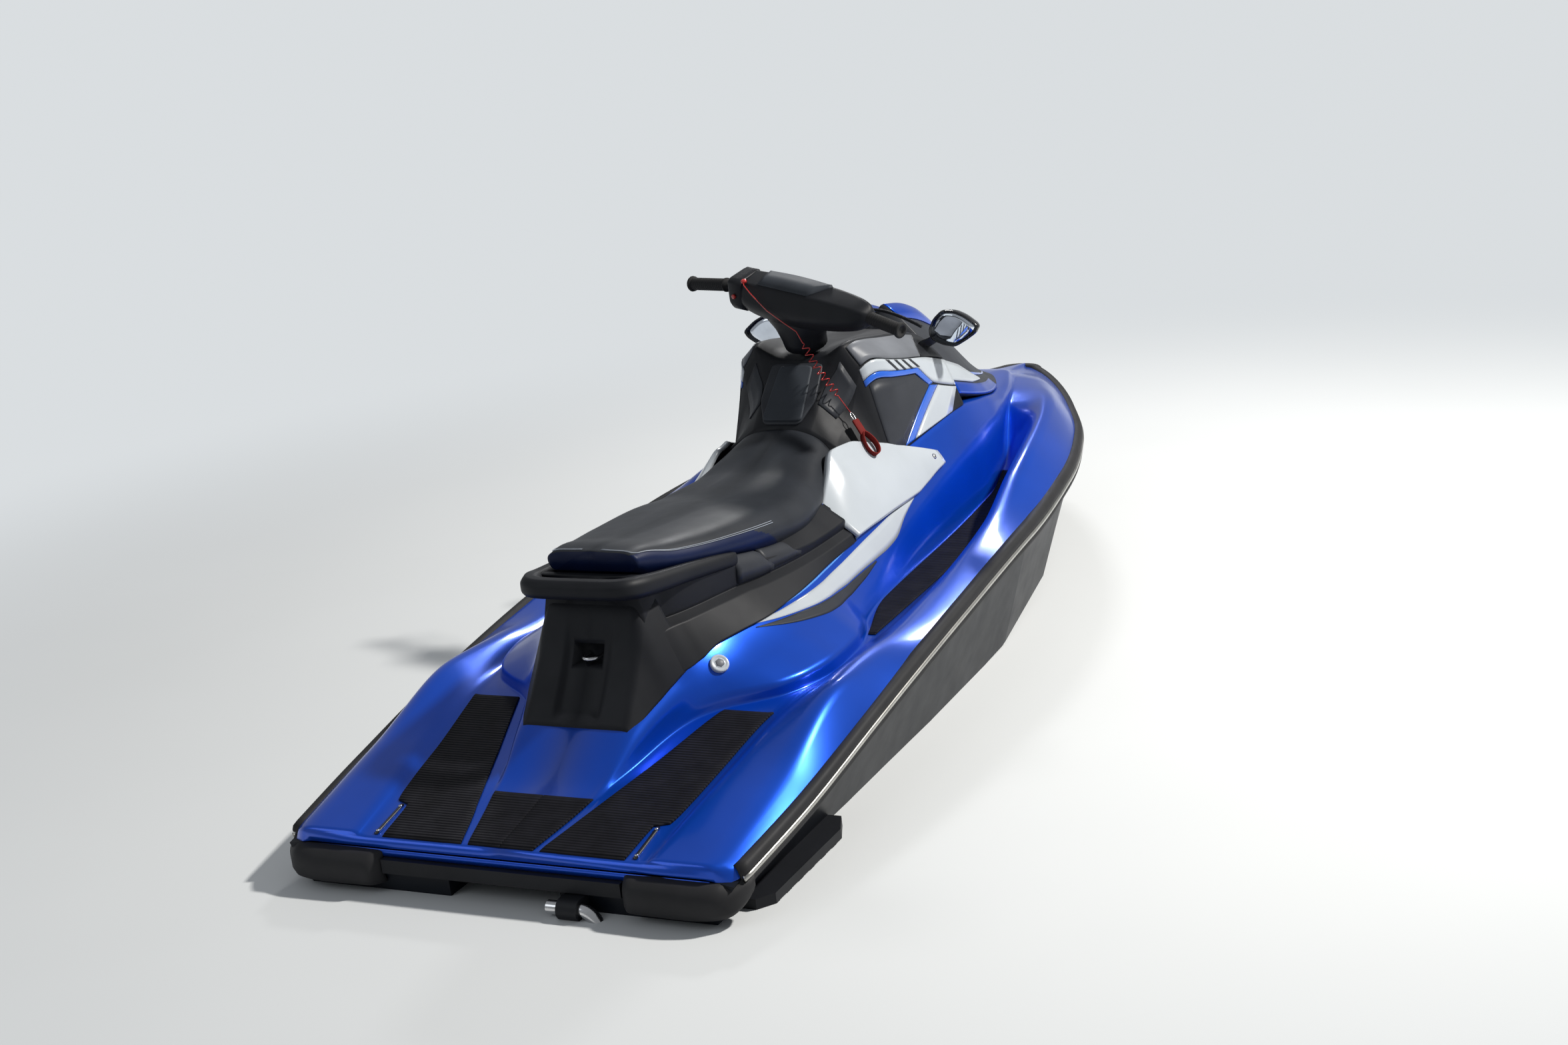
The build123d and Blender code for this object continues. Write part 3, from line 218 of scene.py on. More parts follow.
def add_node(tree, kind, inputs=(), **settings):
    """The outputs of a new node, with each of its inputs set to a value or linked to a socket."""
    node = tree.nodes.new("ShaderNode" + kind)
    for key, value in settings.items():
        setattr(node, key, value)
    set_inputs(tree, node, inputs)
    return node.outputs


def set_inputs(tree, node, inputs):
    for key, value in dict(inputs).items():
        if isinstance(value, bpy.types.NodeSocket):
            tree.links.new(value, node.inputs[key])
        else:
            node.inputs[key].default_value = value


def object_point(tree):
    return add_node(tree, "TexCoord")["Object"]


def noise(tree, scale, detail=3.0):
    inputs = {"Scale": scale, "Detail": detail, "Roughness": 0.55, "Vector": object_point(tree)}
    return add_node(tree, "TexNoise", inputs)["Fac"]


def bump(tree, source, strength, distance):
    """Small relief on the Principled shader's surface."""
    inputs = {"Strength": strength, "Distance": distance, "Height": source}
    set_inputs(tree, tree.nodes["Principled BSDF"], {"Normal": add_node(tree, "Bump", inputs)["Normal"]})


def tinted_material(name, colour, scale, spread, roughness, metallic=0.0, coat=0.0, specular=0.5):
    """A material with slow changes of shade over its colour, and its node tree to build on."""
    material = bpy.data.materials.new(name)
    material.use_nodes = True
    tree = material.node_tree
    ramp = tree.nodes.new("ShaderNodeValToRGB")
    shades = ([c * (1 - spread) for c in colour], [min(1, c * (1 + spread)) for c in colour])
    for element, position, shade in zip(ramp.color_ramp.elements, (0.3, 0.7), shades):
        element.position = position
        element.color = (*shade, 1)
    set_inputs(tree, ramp, {"Fac": noise(tree, scale)})
    set_inputs(tree, tree.nodes["Principled BSDF"], {
        "Base Color": ramp.outputs["Color"], "Roughness": roughness, "Metallic": metallic,
        "Coat Weight": coat, "Coat Roughness": 0.04, "Specular IOR Level": specular})
    return material, tree


def gelcoat(name, colour):
    """Metallic paint under a clear coat, with fine flakes that each tilt a little."""
    material, tree = tinted_material(name, colour, 3.0, 0.12, 0.28, metallic=0.55, coat=0.5, specular=0.25)
    flakes = add_node(tree, "TexVoronoi", {"Scale": 1400, "Vector": object_point(tree)})
    bump(tree, flakes["Distance"], 0.06, 0.0006)
    set_inputs(tree, tree.nodes["Principled BSDF"], {"Coat Roughness": 0.1})
    return material


def moulded(name, colour, roughness=0.5, grain=900, depth=0.12):
    """Moulded plastic with a fine grain and slightly uneven gloss."""
    material, tree = tinted_material(name, colour, 9.0, 0.15, roughness, specular=0.2)
    bump(tree, noise(tree, grain, 2.0), depth, 0.0008)
    gloss = add_node(tree, "MapRange", {"To Min": roughness - 0.08, "To Max": roughness + 0.1,
                                        "Value": noise(tree, 14.0)})
    set_inputs(tree, tree.nodes["Principled BSDF"], {"Roughness": gloss["Result"]})
    return material


def gloss_paint(name, colour, roughness=0.18):
    material, tree = tinted_material(name, colour, 5.0, 0.05, roughness, coat=0.6)
    bump(tree, noise(tree, 60.0, 1.0), 0.03, 0.001)
    return material


def metal(name, colour, roughness, scale=160.0, depth=0.06):
    material, tree = tinted_material(name, colour, 18.0, 0.14, roughness, metallic=1.0)
    bump(tree, noise(tree, scale, 5.0), depth, 0.0008)
    return material


def ribbed_rubber(name, colour, pitch):
    """Rubber with fine straight ribs across the craft."""
    material, tree = tinted_material(name, colour, 22.0, 0.3, 0.7, specular=0.12)
    waves = add_node(tree, "TexWave", {"Scale": 2 * pi / (20 * pitch), "Vector": object_point(tree)},
                     bands_direction="X", wave_profile="SIN")
    bump(tree, waves["Fac"], 0.9, 0.002)
    return material


# Each finish: its slot in the record, if it has one, and its material. A slot's main finish comes first.
paints = {
    "blue": ("blue_gelcoat", gelcoat("blue_gelcoat", (0.001, 0.07, 0.56))),
    "hull_black": ("black_hull", moulded("black_hull", (0.006, 0.008, 0.013), 0.42, depth=0.03)),
    "black": ("black_plastic", moulded("black_plastic", (0.011, 0.012, 0.015))),
    "dark_grey": ("grey_plastic", moulded("dark_grey_plastic", (0.034, 0.037, 0.044), 0.42)),
    "shoulder": ("grey_plastic", moulded("silver_grey_panel", (0.16, 0.17, 0.19), 0.38, depth=0.05)),
    "white": ("white_panel", gloss_paint("white_panel", (0.5, 0.54, 0.58))),
    "stripe_blue": ("blue_gelcoat", gloss_paint("blue_stripe", (0.02, 0.12, 0.62))),
    "rubber": ("rubber", moulded("black_rubber", (0.022, 0.022, 0.024), 0.58, 500)),
    "insert": ("grey_plastic", metal("silver_insert", (0.5, 0.49, 0.46), 0.32)),
    "mat": ("mat", ribbed_rubber("ribbed_mat", (0.01, 0.01, 0.013), 0.008)),
    "vinyl": ("seat_vinyl", moulded("seat_vinyl", (0.022, 0.025, 0.031), 0.45, 420, 0.2)),
    "vinyl_blue": ("seat_vinyl", moulded("seat_side_vinyl", (0.003, 0.009, 0.045), 0.42, 420, 0.2)),
    "thread": ("seat_vinyl", moulded("pale_thread", (0.3, 0.33, 0.38), 0.7)),
    "mirror": ("mirror_glass", metal("mirror_glass", (0.75, 0.8, 0.88), 0.03, depth=0.0)),
    "steel": ("stainless", metal("stainless_steel", (0.62, 0.62, 0.63), 0.2)),
    "alloy": ("pump_alloy", metal("cast_alloy", (0.36, 0.37, 0.39), 0.42, 420, 0.25)),
    "iron": ("engine", metal("engine_iron", (0.1, 0.1, 0.105), 0.5, depth=0.3)),
    "webbing": (None, moulded("red_webbing", (0.16, 0.012, 0.01), 0.75, 260, 0.4)),
    "red": (None, gloss_paint("red_plastic", (0.45, 0.015, 0.012), 0.3)),
    "cool_grey": ("grey_plastic", moulded("cool_grey_plastic", (0.04, 0.046, 0.056), 0.55)),
    "gloss_black": ("black_plastic", gloss_paint("gloss_black", (0.008, 0.008, 0.01))),
    "pale_line": ("white_panel", gloss_paint("pale_blue_line", (0.1, 0.32, 0.85))),
    "grip": ("grip", moulded("grip_rubber", (0.02, 0.02, 0.021), 0.7, 300, 0.3)),
}


def dress_nodes():
    """Gives each CAD node the main finish of its slot."""
    for subpart in frame["record"]["subparts"]:
        finishes = [material for slot, material in paints.values() if slot == subpart["material_slot"]]
        node = frame["nodes"][subpart["node"]]
        node.data.materials.clear()
        node.data.materials.append(finishes[0])


# The tables of lines, for line_mm, are in whole millimetres.

# Longitudinal lines of the deck's moulding: x, half-breadth, height. The first is the rubber rail's line.
rail_line = line_mm(
    (-1500, 520, 42), (-1200, 545, 90), (-900, 556, 142), (-450, 562, 202), (50, 556, 248), (450, 515, 268),
    (800, 430, 276), (1100, 305, 280), (1350, 172, 286), (1500, 66, 292), (1545, 26, 292))
crest_line = line_mm(
    (-1500, 478, 80), (-1200, 488, 152), (-900, 488, 236), (-720, 476, 228), (-550, 468, 216),
    (-300, 474, 234), (50, 466, 284), (300, 446, 344), (450, 428, 372), (800, 352, 396), (1100, 236, 366),
    (1350, 118, 330), (1500, 40, 312), (1545, 18, 306))
lip_line = line_mm(
    (-1500, 346, 80), (-1200, 380, 148), (-930, 418, 206), (-740, 434, 214), (-550, 438, 206),
    (-300, 444, 226), (50, 436, 272), (300, 410, 330), (450, 390, 352), (680, 344, 368), (800, 306, 380),
    (950, 236, 384), (1100, 180, 376), (1350, 82, 336), (1545, 12, 307))
toe_line = line_mm(
    (-1500, 334, 70), (-1200, 350, 132), (-930, 384, 186), (-740, 410, 191), (-450, 412, 196),
    (50, 402, 202), (450, 348, 226), (620, 302, 256), (700, 276, 284), (770, 252, 326), (850, 226, 374),
    (950, 202, 386), (1100, 156, 378), (1350, 68, 338), (1545, 10, 307))
skirt_line = line_mm(
    (-1500, 130, 71), (-1310, 126, 110), (-1200, 146, 146), (-1100, 170, 176), (-1030, 200, 196),
    (-980, 246, 208), (-940, 306, 214), (-900, 352, 217), (-830, 386, 220), (-740, 402, 222),
    (-620, 398, 222), (-540, 378, 216), (-450, 342, 208), (-300, 318, 206), (50, 304, 212), (450, 298, 240),
    (620, 276, 268), (700, 256, 296), (770, 236, 338), (850, 216, 380), (950, 190, 390), (1100, 140, 382),
    (1350, 60, 340), (1545, 8, 307))
waist_line = line_mm(
    (-1500, 100, 71), (-1310, 116, 112), (-1165, 150, 186), (-1030, 190, 246), (-940, 214, 270),
    (-850, 236, 286), (-720, 260, 300), (-450, 258, 322), (50, 284, 330), (450, 290, 360), (620, 276, 374),
    (770, 242, 384), (850, 219, 388), (950, 188, 393), (1100, 134, 387), (1350, 40, 342), (1545, 6, 317))
shoulder_line = line_mm(
    (-1500, 80, 71), (-1300, 106, 114), (-1165, 128, 204), (-1030, 126, 300), (-985, 130, 370),
    (-850, 150, 391), (-450, 174, 409), (50, 212, 439), (450, 248, 469), (620, 242, 448), (770, 222, 422),
    (850, 204, 415), (950, 176, 410), (1100, 122, 402), (1350, 30, 345), (1545, 4, 318))

sheer_rise = 0.02
sheer_inset = 0.008
seam_drop = 0.018
seam_tuck = 0.11
transom_x = -1.5
bow_x = 1.545
# At the stern's corners the side turns in over this length, by this much
corner_start, corner_length, corner_depth = -1.456, 0.044, 0.034
bin_low = (0.6, -0.14, 0.3)
bin_high = (0.9, 0.14, 0.7)


def mix(first, second, share):
    return first + (second - first) * share


def corner_inset(x):
    turn = clamp((corner_start - x) / corner_length)
    return corner_depth * (1 - (1 - turn * turn) ** 0.5)


def deck_section(x):
    """Half of the deck's section, from the centre line out to the rail and back under it."""
    rail_y, rail_z = rail_line(x)
    toe_y, toe_z = toe_line(x)
    skirt_y, skirt_z = skirt_line(x)
    shoulder_y, shoulder_z = shoulder_line(x)
    rail_y -= corner_inset(x)
    low = min(toe_z, rail_z + sheer_rise) - seam_drop
    corners = [(0, shoulder_z), (shoulder_y, shoulder_z), waist_line(x), (skirt_y, max(skirt_z, toe_z)),
               (skirt_y + 0.004, toe_z + 0.0005), (toe_y, toe_z), lip_line(x), crest_line(x),
               (rail_y - sheer_inset, rail_z + sheer_rise), (rail_y, rail_z),
               (rail_y * (1 - seam_tuck), low), (0, low)]
    return across(x, corners, (0.02, 0.07, 0.012, 0.006, 0.02, 0.02, 0.03, 0.008, 0.003, 0.001))


def loft(name, section, span, finish, **settings):
    """A skin through the sections at the stations of a span: start, end and step."""
    return skin(name, [section(x) for x in stations(*span)], finish, **settings)


def cut_box(piece, low, high):
    """Cuts a box out of a piece."""
    low, high = Vector(low), Vector(high)
    maker = bmesh.new()
    bmesh.ops.create_cube(maker, size=1)
    maker.transform(Matrix.Translation((high + low) / 2) @ Matrix.Diagonal((*(high - low), 1)))
    mesh = bpy.data.meshes.new("cutter")
    maker.to_mesh(mesh)
    maker.free()
    cutter = add_to_scene("cutter", mesh)
    change = piece.modifiers.new("cut", "BOOLEAN")
    change.operation = "DIFFERENCE"
    change.object = cutter
    change.solver = "EXACT"
    bpy.context.view_layer.update()
    made = bpy.data.meshes.new_from_object(piece.evaluated_get(bpy.context.evaluated_depsgraph_get()))
    piece.modifiers.clear()
    piece.data = made
    made.polygons.foreach_set("use_smooth", [True] * len(made.polygons))
    bpy.data.objects.remove(cutter)


def make_deck():
    piece = loft("deck_moulding", deck_section, (transom_x, bow_x, 0.012), "blue")
    cut_box(piece, bin_low, bin_high)
    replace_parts(piece, "deck")


# Console and cowl between the seat and the hood: x, centre's height, inner ridge, shoulder and foot
cowl_line = line_mm(
    (-100, 552, 70, 546, 150, 500, 206, 436), (-45, 606, 76, 596, 140, 520, 210, 436),
    (0, 648, 84, 636, 138, 556, 213, 437), (28, 674, 106, 680, 144, 604, 216, 438),
    (44, 688, 118, 724, 156, 660, 218, 439), (80, 698, 124, 730, 178, 678, 222, 442),
    (130, 702, 127, 725, 198, 666, 226, 446), (200, 700, 130, 713, 205, 650, 232, 452),
    (310, 692, 136, 695, 211, 628, 240, 460), (400, 684, 140, 674, 208, 605, 245, 466),
    (460, 672, 140, 654, 204, 588, 248, 469))
# Hood: x, centre's height, ridge, edge of the coloured top, crease above the stripes, foot
hood_line = line_mm(
    (462, 712, 46, 738, 92, 700, 190, 590, 236, 494), (550, 700, 45, 722, 94, 676, 193, 560, 240, 470),
    (650, 672, 42, 690, 88, 640, 184, 524, 232, 446), (750, 624, 36, 640, 72, 598, 164, 490, 214, 428),
    (850, 566, 26, 578, 50, 553, 134, 460, 186, 418), (950, 506, 15, 513, 28, 500, 98, 436, 146, 411),
    (1040, 452, 8, 455, 14, 450, 58, 420, 98, 406), (1090, 420, 4, 421, 7, 419, 26, 410, 48, 403))
# Seat: x, foot, seam and crest of its side, height at the centre
seat_line = line_mm(
    (-1016, 104, 490, 108, 521, 88, 532, 534), (-980, 114, 472, 118, 515, 98, 533, 537),
    (-900, 136, 456, 143, 492, 118, 520, 528), (-770, 166, 436, 175, 473, 146, 505, 517),
    (-555, 192, 401, 201, 448, 168, 487, 502), (-420, 194, 390, 202, 432, 170, 471, 490),
    (-300, 176, 394, 184, 434, 152, 474, 496), (-200, 152, 416, 157, 458, 128, 500, 522),
    (-104, 128, 456, 132, 498, 104, 530, 552))
# Black side trim: x, edge that catches the light, height of its lower edge on the flank
trim_line = line_mm(
    (-1012, 150, 357, 268), (-980, 160, 361, 276), (-900, 182, 362, 299), (-760, 208, 360, 306),
    (-660, 220, 353, 311), (-440, 244, 347, 322), (-250, 246, 352, 331), (-170, 240, 366, 342))


def cowl_section(x):
    top, ridge_y, ridge_z, side_y, side_z, foot_y, foot_z = cowl_line(x)
    corners = [(0, top), (ridge_y * 0.55, mix(top, ridge_z, 0.12)), (ridge_y, ridge_z), (side_y, side_z),
               (foot_y, foot_z), (foot_y - 0.012, foot_z - 0.02), (0, foot_z - 0.02)]
    return across(x, corners, (0.02, 0.012, 0.01, 0.004, 0.002))


def make_console():
    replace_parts(loft("console_shell", cowl_section, (-0.1, 0.46, 0.008), "black"), "console")


# The least thickness of a panel on the side
panel_thick = 0.004


def lifted(row, lift):
    """Points moved off the craft's side by a small distance, mostly outboard."""
    return [(x, y + lift * 0.9, z + lift * 0.45) for x, y, z in row]


def side_patch(name, rows, finish, lift, body=ROOT, slot="", depth=0.0):
    """A thin panel over rows of points on the side, one row a station. The depth adds to its thickness."""
    sections = [lifted(row, lift) + lifted(row, lift - depth - panel_thick)[::-1] for row in rows]
    return skin(name, sections, finish, body, slot)


def cowl_point(x, share):
    """A point on the cowl's side. Share 0 is its foot, 1 its shoulder and 2 its inner ridge."""
    ridge_y, ridge_z, side_y, side_z, foot_y, foot_z = cowl_line(x)[1:]
    if share <= 1:
        return (x, mix(foot_y, side_y, share), mix(foot_z, side_z, share))
    return (x, mix(side_y, ridge_y, share - 1), mix(side_z, ridge_z, share - 1))


def hood_point(x, share):
    """A point on the hood's side. Share 0 is its foot and 1 the crease above it."""
    crease_y, crease_z, foot_y, foot_z = hood_line(x)[5:]
    return (x, mix(foot_y, crease_y, share), mix(foot_z, crease_z, share))


def along(line, share):
    """The point at a share of the length of a line of (x, share) pairs."""
    lengths = [((b[0] - a[0]) ** 2 + 0.02 * (b[1] - a[1]) ** 2) ** 0.5 for a, b in zip(line, line[1:])]
    left = share * sum(lengths)
    for (a, b), length in zip(zip(line, line[1:]), lengths):
        if left <= length + 1e-9:
            return tuple(mix(p, q, left / length) for p, q in zip(a, b))
        left -= length
    return line[-1]


def decal(name, surface, near, far, finish, lift, body=ROOT, slot="", steps=28, columns=4):
    """A thin panel on the side between two lines of (x, share) pairs."""
    rows = []
    for i in range(steps + 1):
        ends = list(zip(along(near, i / steps), along(far, i / steps)))
        rows.append([surface(*[mix(p, q, j / columns) for p, q in ends]) for j in range(columns + 1)])
    return side_patch(name, rows, finish, lift, body, slot)


def make_cowl():
    """The silver shoulder, the white and blue stripes with four slashes, and the dark side panel."""
    decal("cowl_shoulder", cowl_point, [(0.05, 1.84), (0.13, 1.86), (0.385, 1.86)],
          [(0.052, 1.06), (0.13, 1.03), (0.296, 1.03)], "shoulder", 0.0045)
    decal("mirror_foot", cowl_point, [(0.388, 1.86), (0.452, 1.86)], [(0.3, 1.03), (0.452, 1.03)],
          "black", 0.004)
    white = decal("cowl_white_stripe", cowl_point,
                  [(0.046, 0.87), (0.268, 0.86), (0.328, 0.6), (0.456, 0.42)],
                  [(0.046, 0.995), (0.24, 0.995), (0.32, 0.995), (0.456, 0.97)], "white", 0.0035)
    for i in range(4):
        x = 0.116 + 0.036 * i
        near = [(x, 0.99), (x + 0.04, 0.86)]
        far = [(x + 0.013, 0.99), (x + 0.053, 0.86)]
        decal("cowl_slash_%d" % (i + 1), cowl_point, near, far, "dark_grey", 0.0042, slot="black_plastic",
              steps=4, columns=1)
    decal("cowl_blue_stripe", cowl_point, [(0.046, 0.8), (0.248, 0.79), (0.306, 0.57)],
          [(0.046, 0.862), (0.264, 0.852), (0.326, 0.595)], "stripe_blue", 0.0032)
    decal("cowl_blue_edge", cowl_point, [(0.306, 0.57), (0.12, 0.01)], [(0.35, 0.535), (0.17, 0.01)],
          "stripe_blue", 0.0032)
    decal("cowl_white_band", cowl_point, [(0.353, 0.53), (0.173, 0.01)], [(0.455, 0.385), (0.385, 0.01)],
          "white", 0.0034)
    decal("cowl_side_panel", cowl_point, [(0.052, 0.02), (0.117, 0.01), (0.302, 0.57)],
          [(0.055, 0.785), (0.16, 0.785), (0.243, 0.775), (0.3, 0.585)], "dark_grey", 0.0022, columns=6)
    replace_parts(white, "cowl_panels")


def hood_top_corners(x):
    top, ridge_y, ridge_z, edge_y, edge_z = hood_line(x)[:5]
    return [(0, top), (ridge_y * 0.45, top), (ridge_y, ridge_z), (edge_y, edge_z)]


def hood_section(x):
    crease_y, crease_z, foot_y, foot_z = hood_line(x)[5:]
    corners = hood_top_corners(x) + [(crease_y, crease_z), (foot_y, foot_z), (foot_y * 0.9, foot_z - 0.006),
                                     (0, foot_z - 0.006)]
    return across(x, corners, (0.012, 0.008, 0.006, 0.012, 0.004, 0.002))


def make_hood():
    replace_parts(loft("hood_shell", hood_section, (0.462, 1.09, 0.01), "dark_grey", body="hood"), "hood_lid")
    rows = [across(x, hood_top_corners(x), (0.012, 0.008)) for x in stations(0.464, 1.0, 0.01)]
    side_patch("hood_top", rows, "blue", 0.004, body="hood")
    rings = []
    for scale, lift in ((1.0, 0.0), (1.0, 0.0048), (0.9, 0.0055), (0.1, 0.005)):
        ring = [(0.56 + 0.04 * scale * cos(a), 0.02 * scale * sin(a)) for a in circle(24)]
        rings.append([(x, y, hood_line(x)[0] + lift) for x, y in ring])
    skin("hood_slot", rings, "gloss_black", "hood", "grey_plastic", both=False)
    decal("hood_white_point", hood_point, [(0.464, 0.38), (0.6, 0.4), (0.7, 0.54)],
          [(0.464, 0.96), (0.56, 0.91), (0.704, 0.6)], "white", 0.0035, "hood")
    decal("hood_blue_foot", hood_point, [(0.464, 0.02), (0.86, 0.02)],
          [(0.464, 0.34), (0.62, 0.36), (0.86, 0.5)], "blue", 0.003, "hood")
    decal("hood_blue_line", hood_point, [(0.6, 0.66), (0.8, 0.8), (0.98, 0.86)],
          [(0.6, 0.74), (0.8, 0.88), (0.98, 0.92)], "stripe_blue", 0.0025, "hood")


# Where the rounding of the seam starts among the points of a seat section
seam_point = 13
# The dark blue band on the seat's side reaches forward to this x, and narrows over this length
band_end, band_taper = -0.545, 0.1


def seat_section(x):
    foot_y, foot_z, seam_y, seam_z, crest_y, crest_z, top = seat_line(x)
    corners = [(0, top), (crest_y * 0.5, top - 0.002), (crest_y, crest_z), (seam_y, seam_z),
               (seam_y + 0.001, (seam_z + foot_z) / 2), (foot_y - 0.006, foot_z), (0, foot_z)]
    return across(x, corners, (0.03, 0.034, 0.012, 0.02, 0.008))


def make_seat():
    """The padded seat, with a blue band and two rows of stitching along its side and round its rear."""
    sections = [seat_section(x) for x in stations(-1.014, -0.106, 0.0075)]
    rear = [(p[0] - 0.002, p[1] * 0.94, p[2] * 0.94 + 0.06 * 0.51) for p in sections[0]]
    piece = skin("seat_pad", [rear] + sections, "vinyl")
    piece.data.materials.append(paints["vinyl_blue"][1])
    for face in piece.data.polygons:
        x, _, z = face.center
        if x < band_end:
            width = clamp((band_end - x) / band_taper) ** 0.6
            if z < mix(seat_line(x)[1], seat_section(x)[seam_point][2], width):
                face.material_index = 1
    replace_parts(piece, "seat")
    for name, share in (("seam_upper", 0.62), ("seam_lower", 0.96)):
        rear = seat_section(-1.01 + 0.008 * (1 - share))[1:12]
        line = [p + Vector((0, 0, 0.0012)) for p in rear]
        for x in stations(-0.998, -0.56, 0.012):
            above, below = seat_section(x)[seam_point - 1:seam_point + 1]
            line.append(above.lerp(below, share) + Vector((0, 0.0009, 0.0012)))
        pipe(name, line, 0.0008, "thread")


def trim_section(x):
    """Half of the seat base's section. Towards its aft end it fades into the cover behind the seat."""
    edge_y, edge_z, low_z = trim_line(x)
    foot_y, foot_z = seat_line(x)[:2]
    shoulder_y, shoulder_z = shoulder_line(x)
    top_z = max(foot_z - 0.004, shoulder_z + 0.004)
    groove_z = edge_z + 0.012
    fade = clamp((x + 1.04) / 0.09)
    edge_y = mix(cover_side(x, edge_z) - 0.004, max(edge_y, flank_point(x, edge_z) + 0.014), fade)
    groove_y = mix(cover_side(x, groove_z) - 0.006, flank_point(x, groove_z) + 0.003, fade)
    low_y = mix(cover_side(x, low_z) - 0.004, flank_point(x, low_z) + 0.003, fade)
    ledge_y = foot_y - 0.004 + (max(foot_y, groove_y) + 0.008 - foot_y) * fade
    corners = [(0, top_z), (max(foot_y - 0.01, shoulder_y - 0.004), top_z),
               (ledge_y, min(top_z - 0.002, foot_z - 0.012)), (groove_y + 0.002, groove_z + 0.004),
               (groove_y, groove_z), (edge_y, edge_z), (low_y + 0.004 * fade, low_z + 0.003),
               (low_y - 0.01, low_z - 0.006), (0, low_z - 0.006)]
    return across(x, corners, (0.004, 0.004, 0.006, 0.003, 0.003, 0.003, 0.002))


def make_seat_base():
    """The black base round the seat's foot, with a groove, two stepped tabs on each side and a screw."""
    piece = loft("side_trims", trim_section, (-1.04, -0.288, 0.01), "black")
    for name, start, end, lift in (("tab_aft", -0.745, -0.62, 0.012), ("tab_fore", -0.64, -0.5, 0.007)):
        rows = []
        for x in stations(start, end, 0.0125):
            foot_y, foot_z = seat_line(x)[:2]
            low_z = trim_line(x)[1] + 0.02
            high_z = mix(low_z, foot_z + 0.006, 0.45 + 0.55 * clamp((end - x) / 0.03))
            out = max(foot_y, flank_point(x, low_z) + 0.003) + lift
            rows.append([(x, out + 0.004, low_z), (x, out + 0.006, (low_z + high_z) / 2),
                         (x, foot_y + lift, high_z), (x, foot_y + lift - 0.006, high_z + 0.002)])
        side_patch(name, rows, "dark_grey", 0.0, slot="black_plastic", depth=0.01)
    place = Vector((-0.64, flank_point(-0.64, 0.372) + 0.004, 0.372))
    head = [(0, 0.006), (0.8, 0.006), (1, 0.004), (1, 0.0005)]
    screw_pair("trim_screw_", place, Vector((0, 0.005, 0.003)), head, 16)
    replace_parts(piece, "seat_base")


def cover_side(x, z):
    """The half-breadth of the cover behind the seat, at a height on its side."""
    edge_y, edge_z, foot_y, foot_z = cover_rows(x)[1:]
    return mix(edge_y, foot_y, (edge_z - z) / (edge_z - foot_z))


def flank_point(x, z):
    """The half-breadth of the deck's flank at a height between its shoulder and its skirt."""
    section = deck_section(x)
    for upper, lower in zip(section, section[1:]):
        if upper[2] >= z > lower[2] and upper[1] > 0.01:
            return mix(upper[1], lower[1], (upper[2] - z) / (upper[2] - lower[2]))
    return section[1][1]


def flank_patch(name, table, finish, lift, step=0.012, count=5):
    """A thin panel on the flank, between the lines of a table in millimetres: x, upper and lower height."""
    line = line_mm(*table)
    rows = []
    for x in stations(table[0][0] / 1000, table[-1][0] / 1000, step):
        heights = [mix(*line(x), i / (count - 1)) for i in range(count)]
        rows.append([(x, flank_point(x, z), z) for z in heights])
    side_patch(name, rows, finish, lift)


# Knee panel: x, then half-breadth and height of its upper edge, its middle and its lower edge
knee_line = line_mm(
    (-290, 180, 404, 230, 376, 268, 346), (-210, 166, 466, 222, 412, 270, 348),
    (-145, 154, 512, 220, 430, 272, 349), (-80, 166, 512, 226, 432, 274, 350),
    (-20, 186, 496, 236, 424, 276, 350), (50, 208, 474, 246, 416, 278, 350),
    (110, 222, 452, 252, 408, 276, 356), (180, 246, 426, 266, 402, 280, 372),
    (226, 259, 408, 270, 394, 280, 376))


def make_knee_panels():
    rows = []
    for x in stations(-0.29, 0.226, 0.012):
        top_y, top_z, mid_y, mid_z, low_y, low_z = knee_line(x)
        corners = [(top_y - 0.006, top_z - 0.002), (top_y, top_z), (mid_y, mid_z), (low_y, low_z),
                   (low_y - 0.004, low_z - 0.006)]
        rows.append(across(x, corners, (0.004, 0.05, 0.004)))
    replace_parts(side_patch("knee_shells", rows, "white", 0.004, depth=0.006), "knee_panels")
    head = [(0, 0.0075), (0.7, 0.0075), (1, 0.005), (1, 0.003), (0.7, 0.0028), (0.7, 0.0004)]
    screw_pair("knee_screw_", Vector((0.19, 0.265, 0.4)), Vector((0, 0.007, 0.0045)), head, 20)


def make_flanks():
    """The black, white and dark stripes on the deck's flank, and the thin pale line along them."""
    flank_patch("flank_black", [(-300, 414, 345), (-200, 423, 350), (-100, 430, 352)], "black", 0.0014, 0.01,
                count=8)
    flank_patch("flank_white", [
        (-840, 311, 310), (-683, 305, 292), (-516, 305, 279), (-411, 308, 272), (-205, 326, 276),
        (-130, 334, 284), (-40, 343, 318), (45, 348, 343)], "white", 0.0012)
    flank_patch("flank_dark", [
        (-800, 299, 298), (-683, 290, 276), (-516, 277, 258), (-430, 270, 252), (-340, 270, 255),
        (-250, 272, 268)], "dark_grey", 0.001)
    flank_patch("flank_line", [
        (-860, 314, 312), (-710, 312, 309), (-450, 319, 316), (-250, 336, 333)], "pale_line", 0.001, count=2)


# The rail's rounded nose at the bow
nose_start, nose_length, nose_half = 1.5, 0.045, 0.062


def plan_path():
    """Points along the craft's seam on one side, from the stern to the bow's tip."""
    points = []
    for x in stations(-1.47, nose_start, 0.02):
        y, z = rail_line(x)
        points.append(Vector((x, y - corner_inset(x), z)))
    nose_z = rail_line(bow_x)[1]
    for i in range(1, 7):
        angle = i / 6 * pi / 2
        points.append(Vector((nose_start + nose_length * sin(angle), nose_half * cos(angle), nose_z)))
    return points


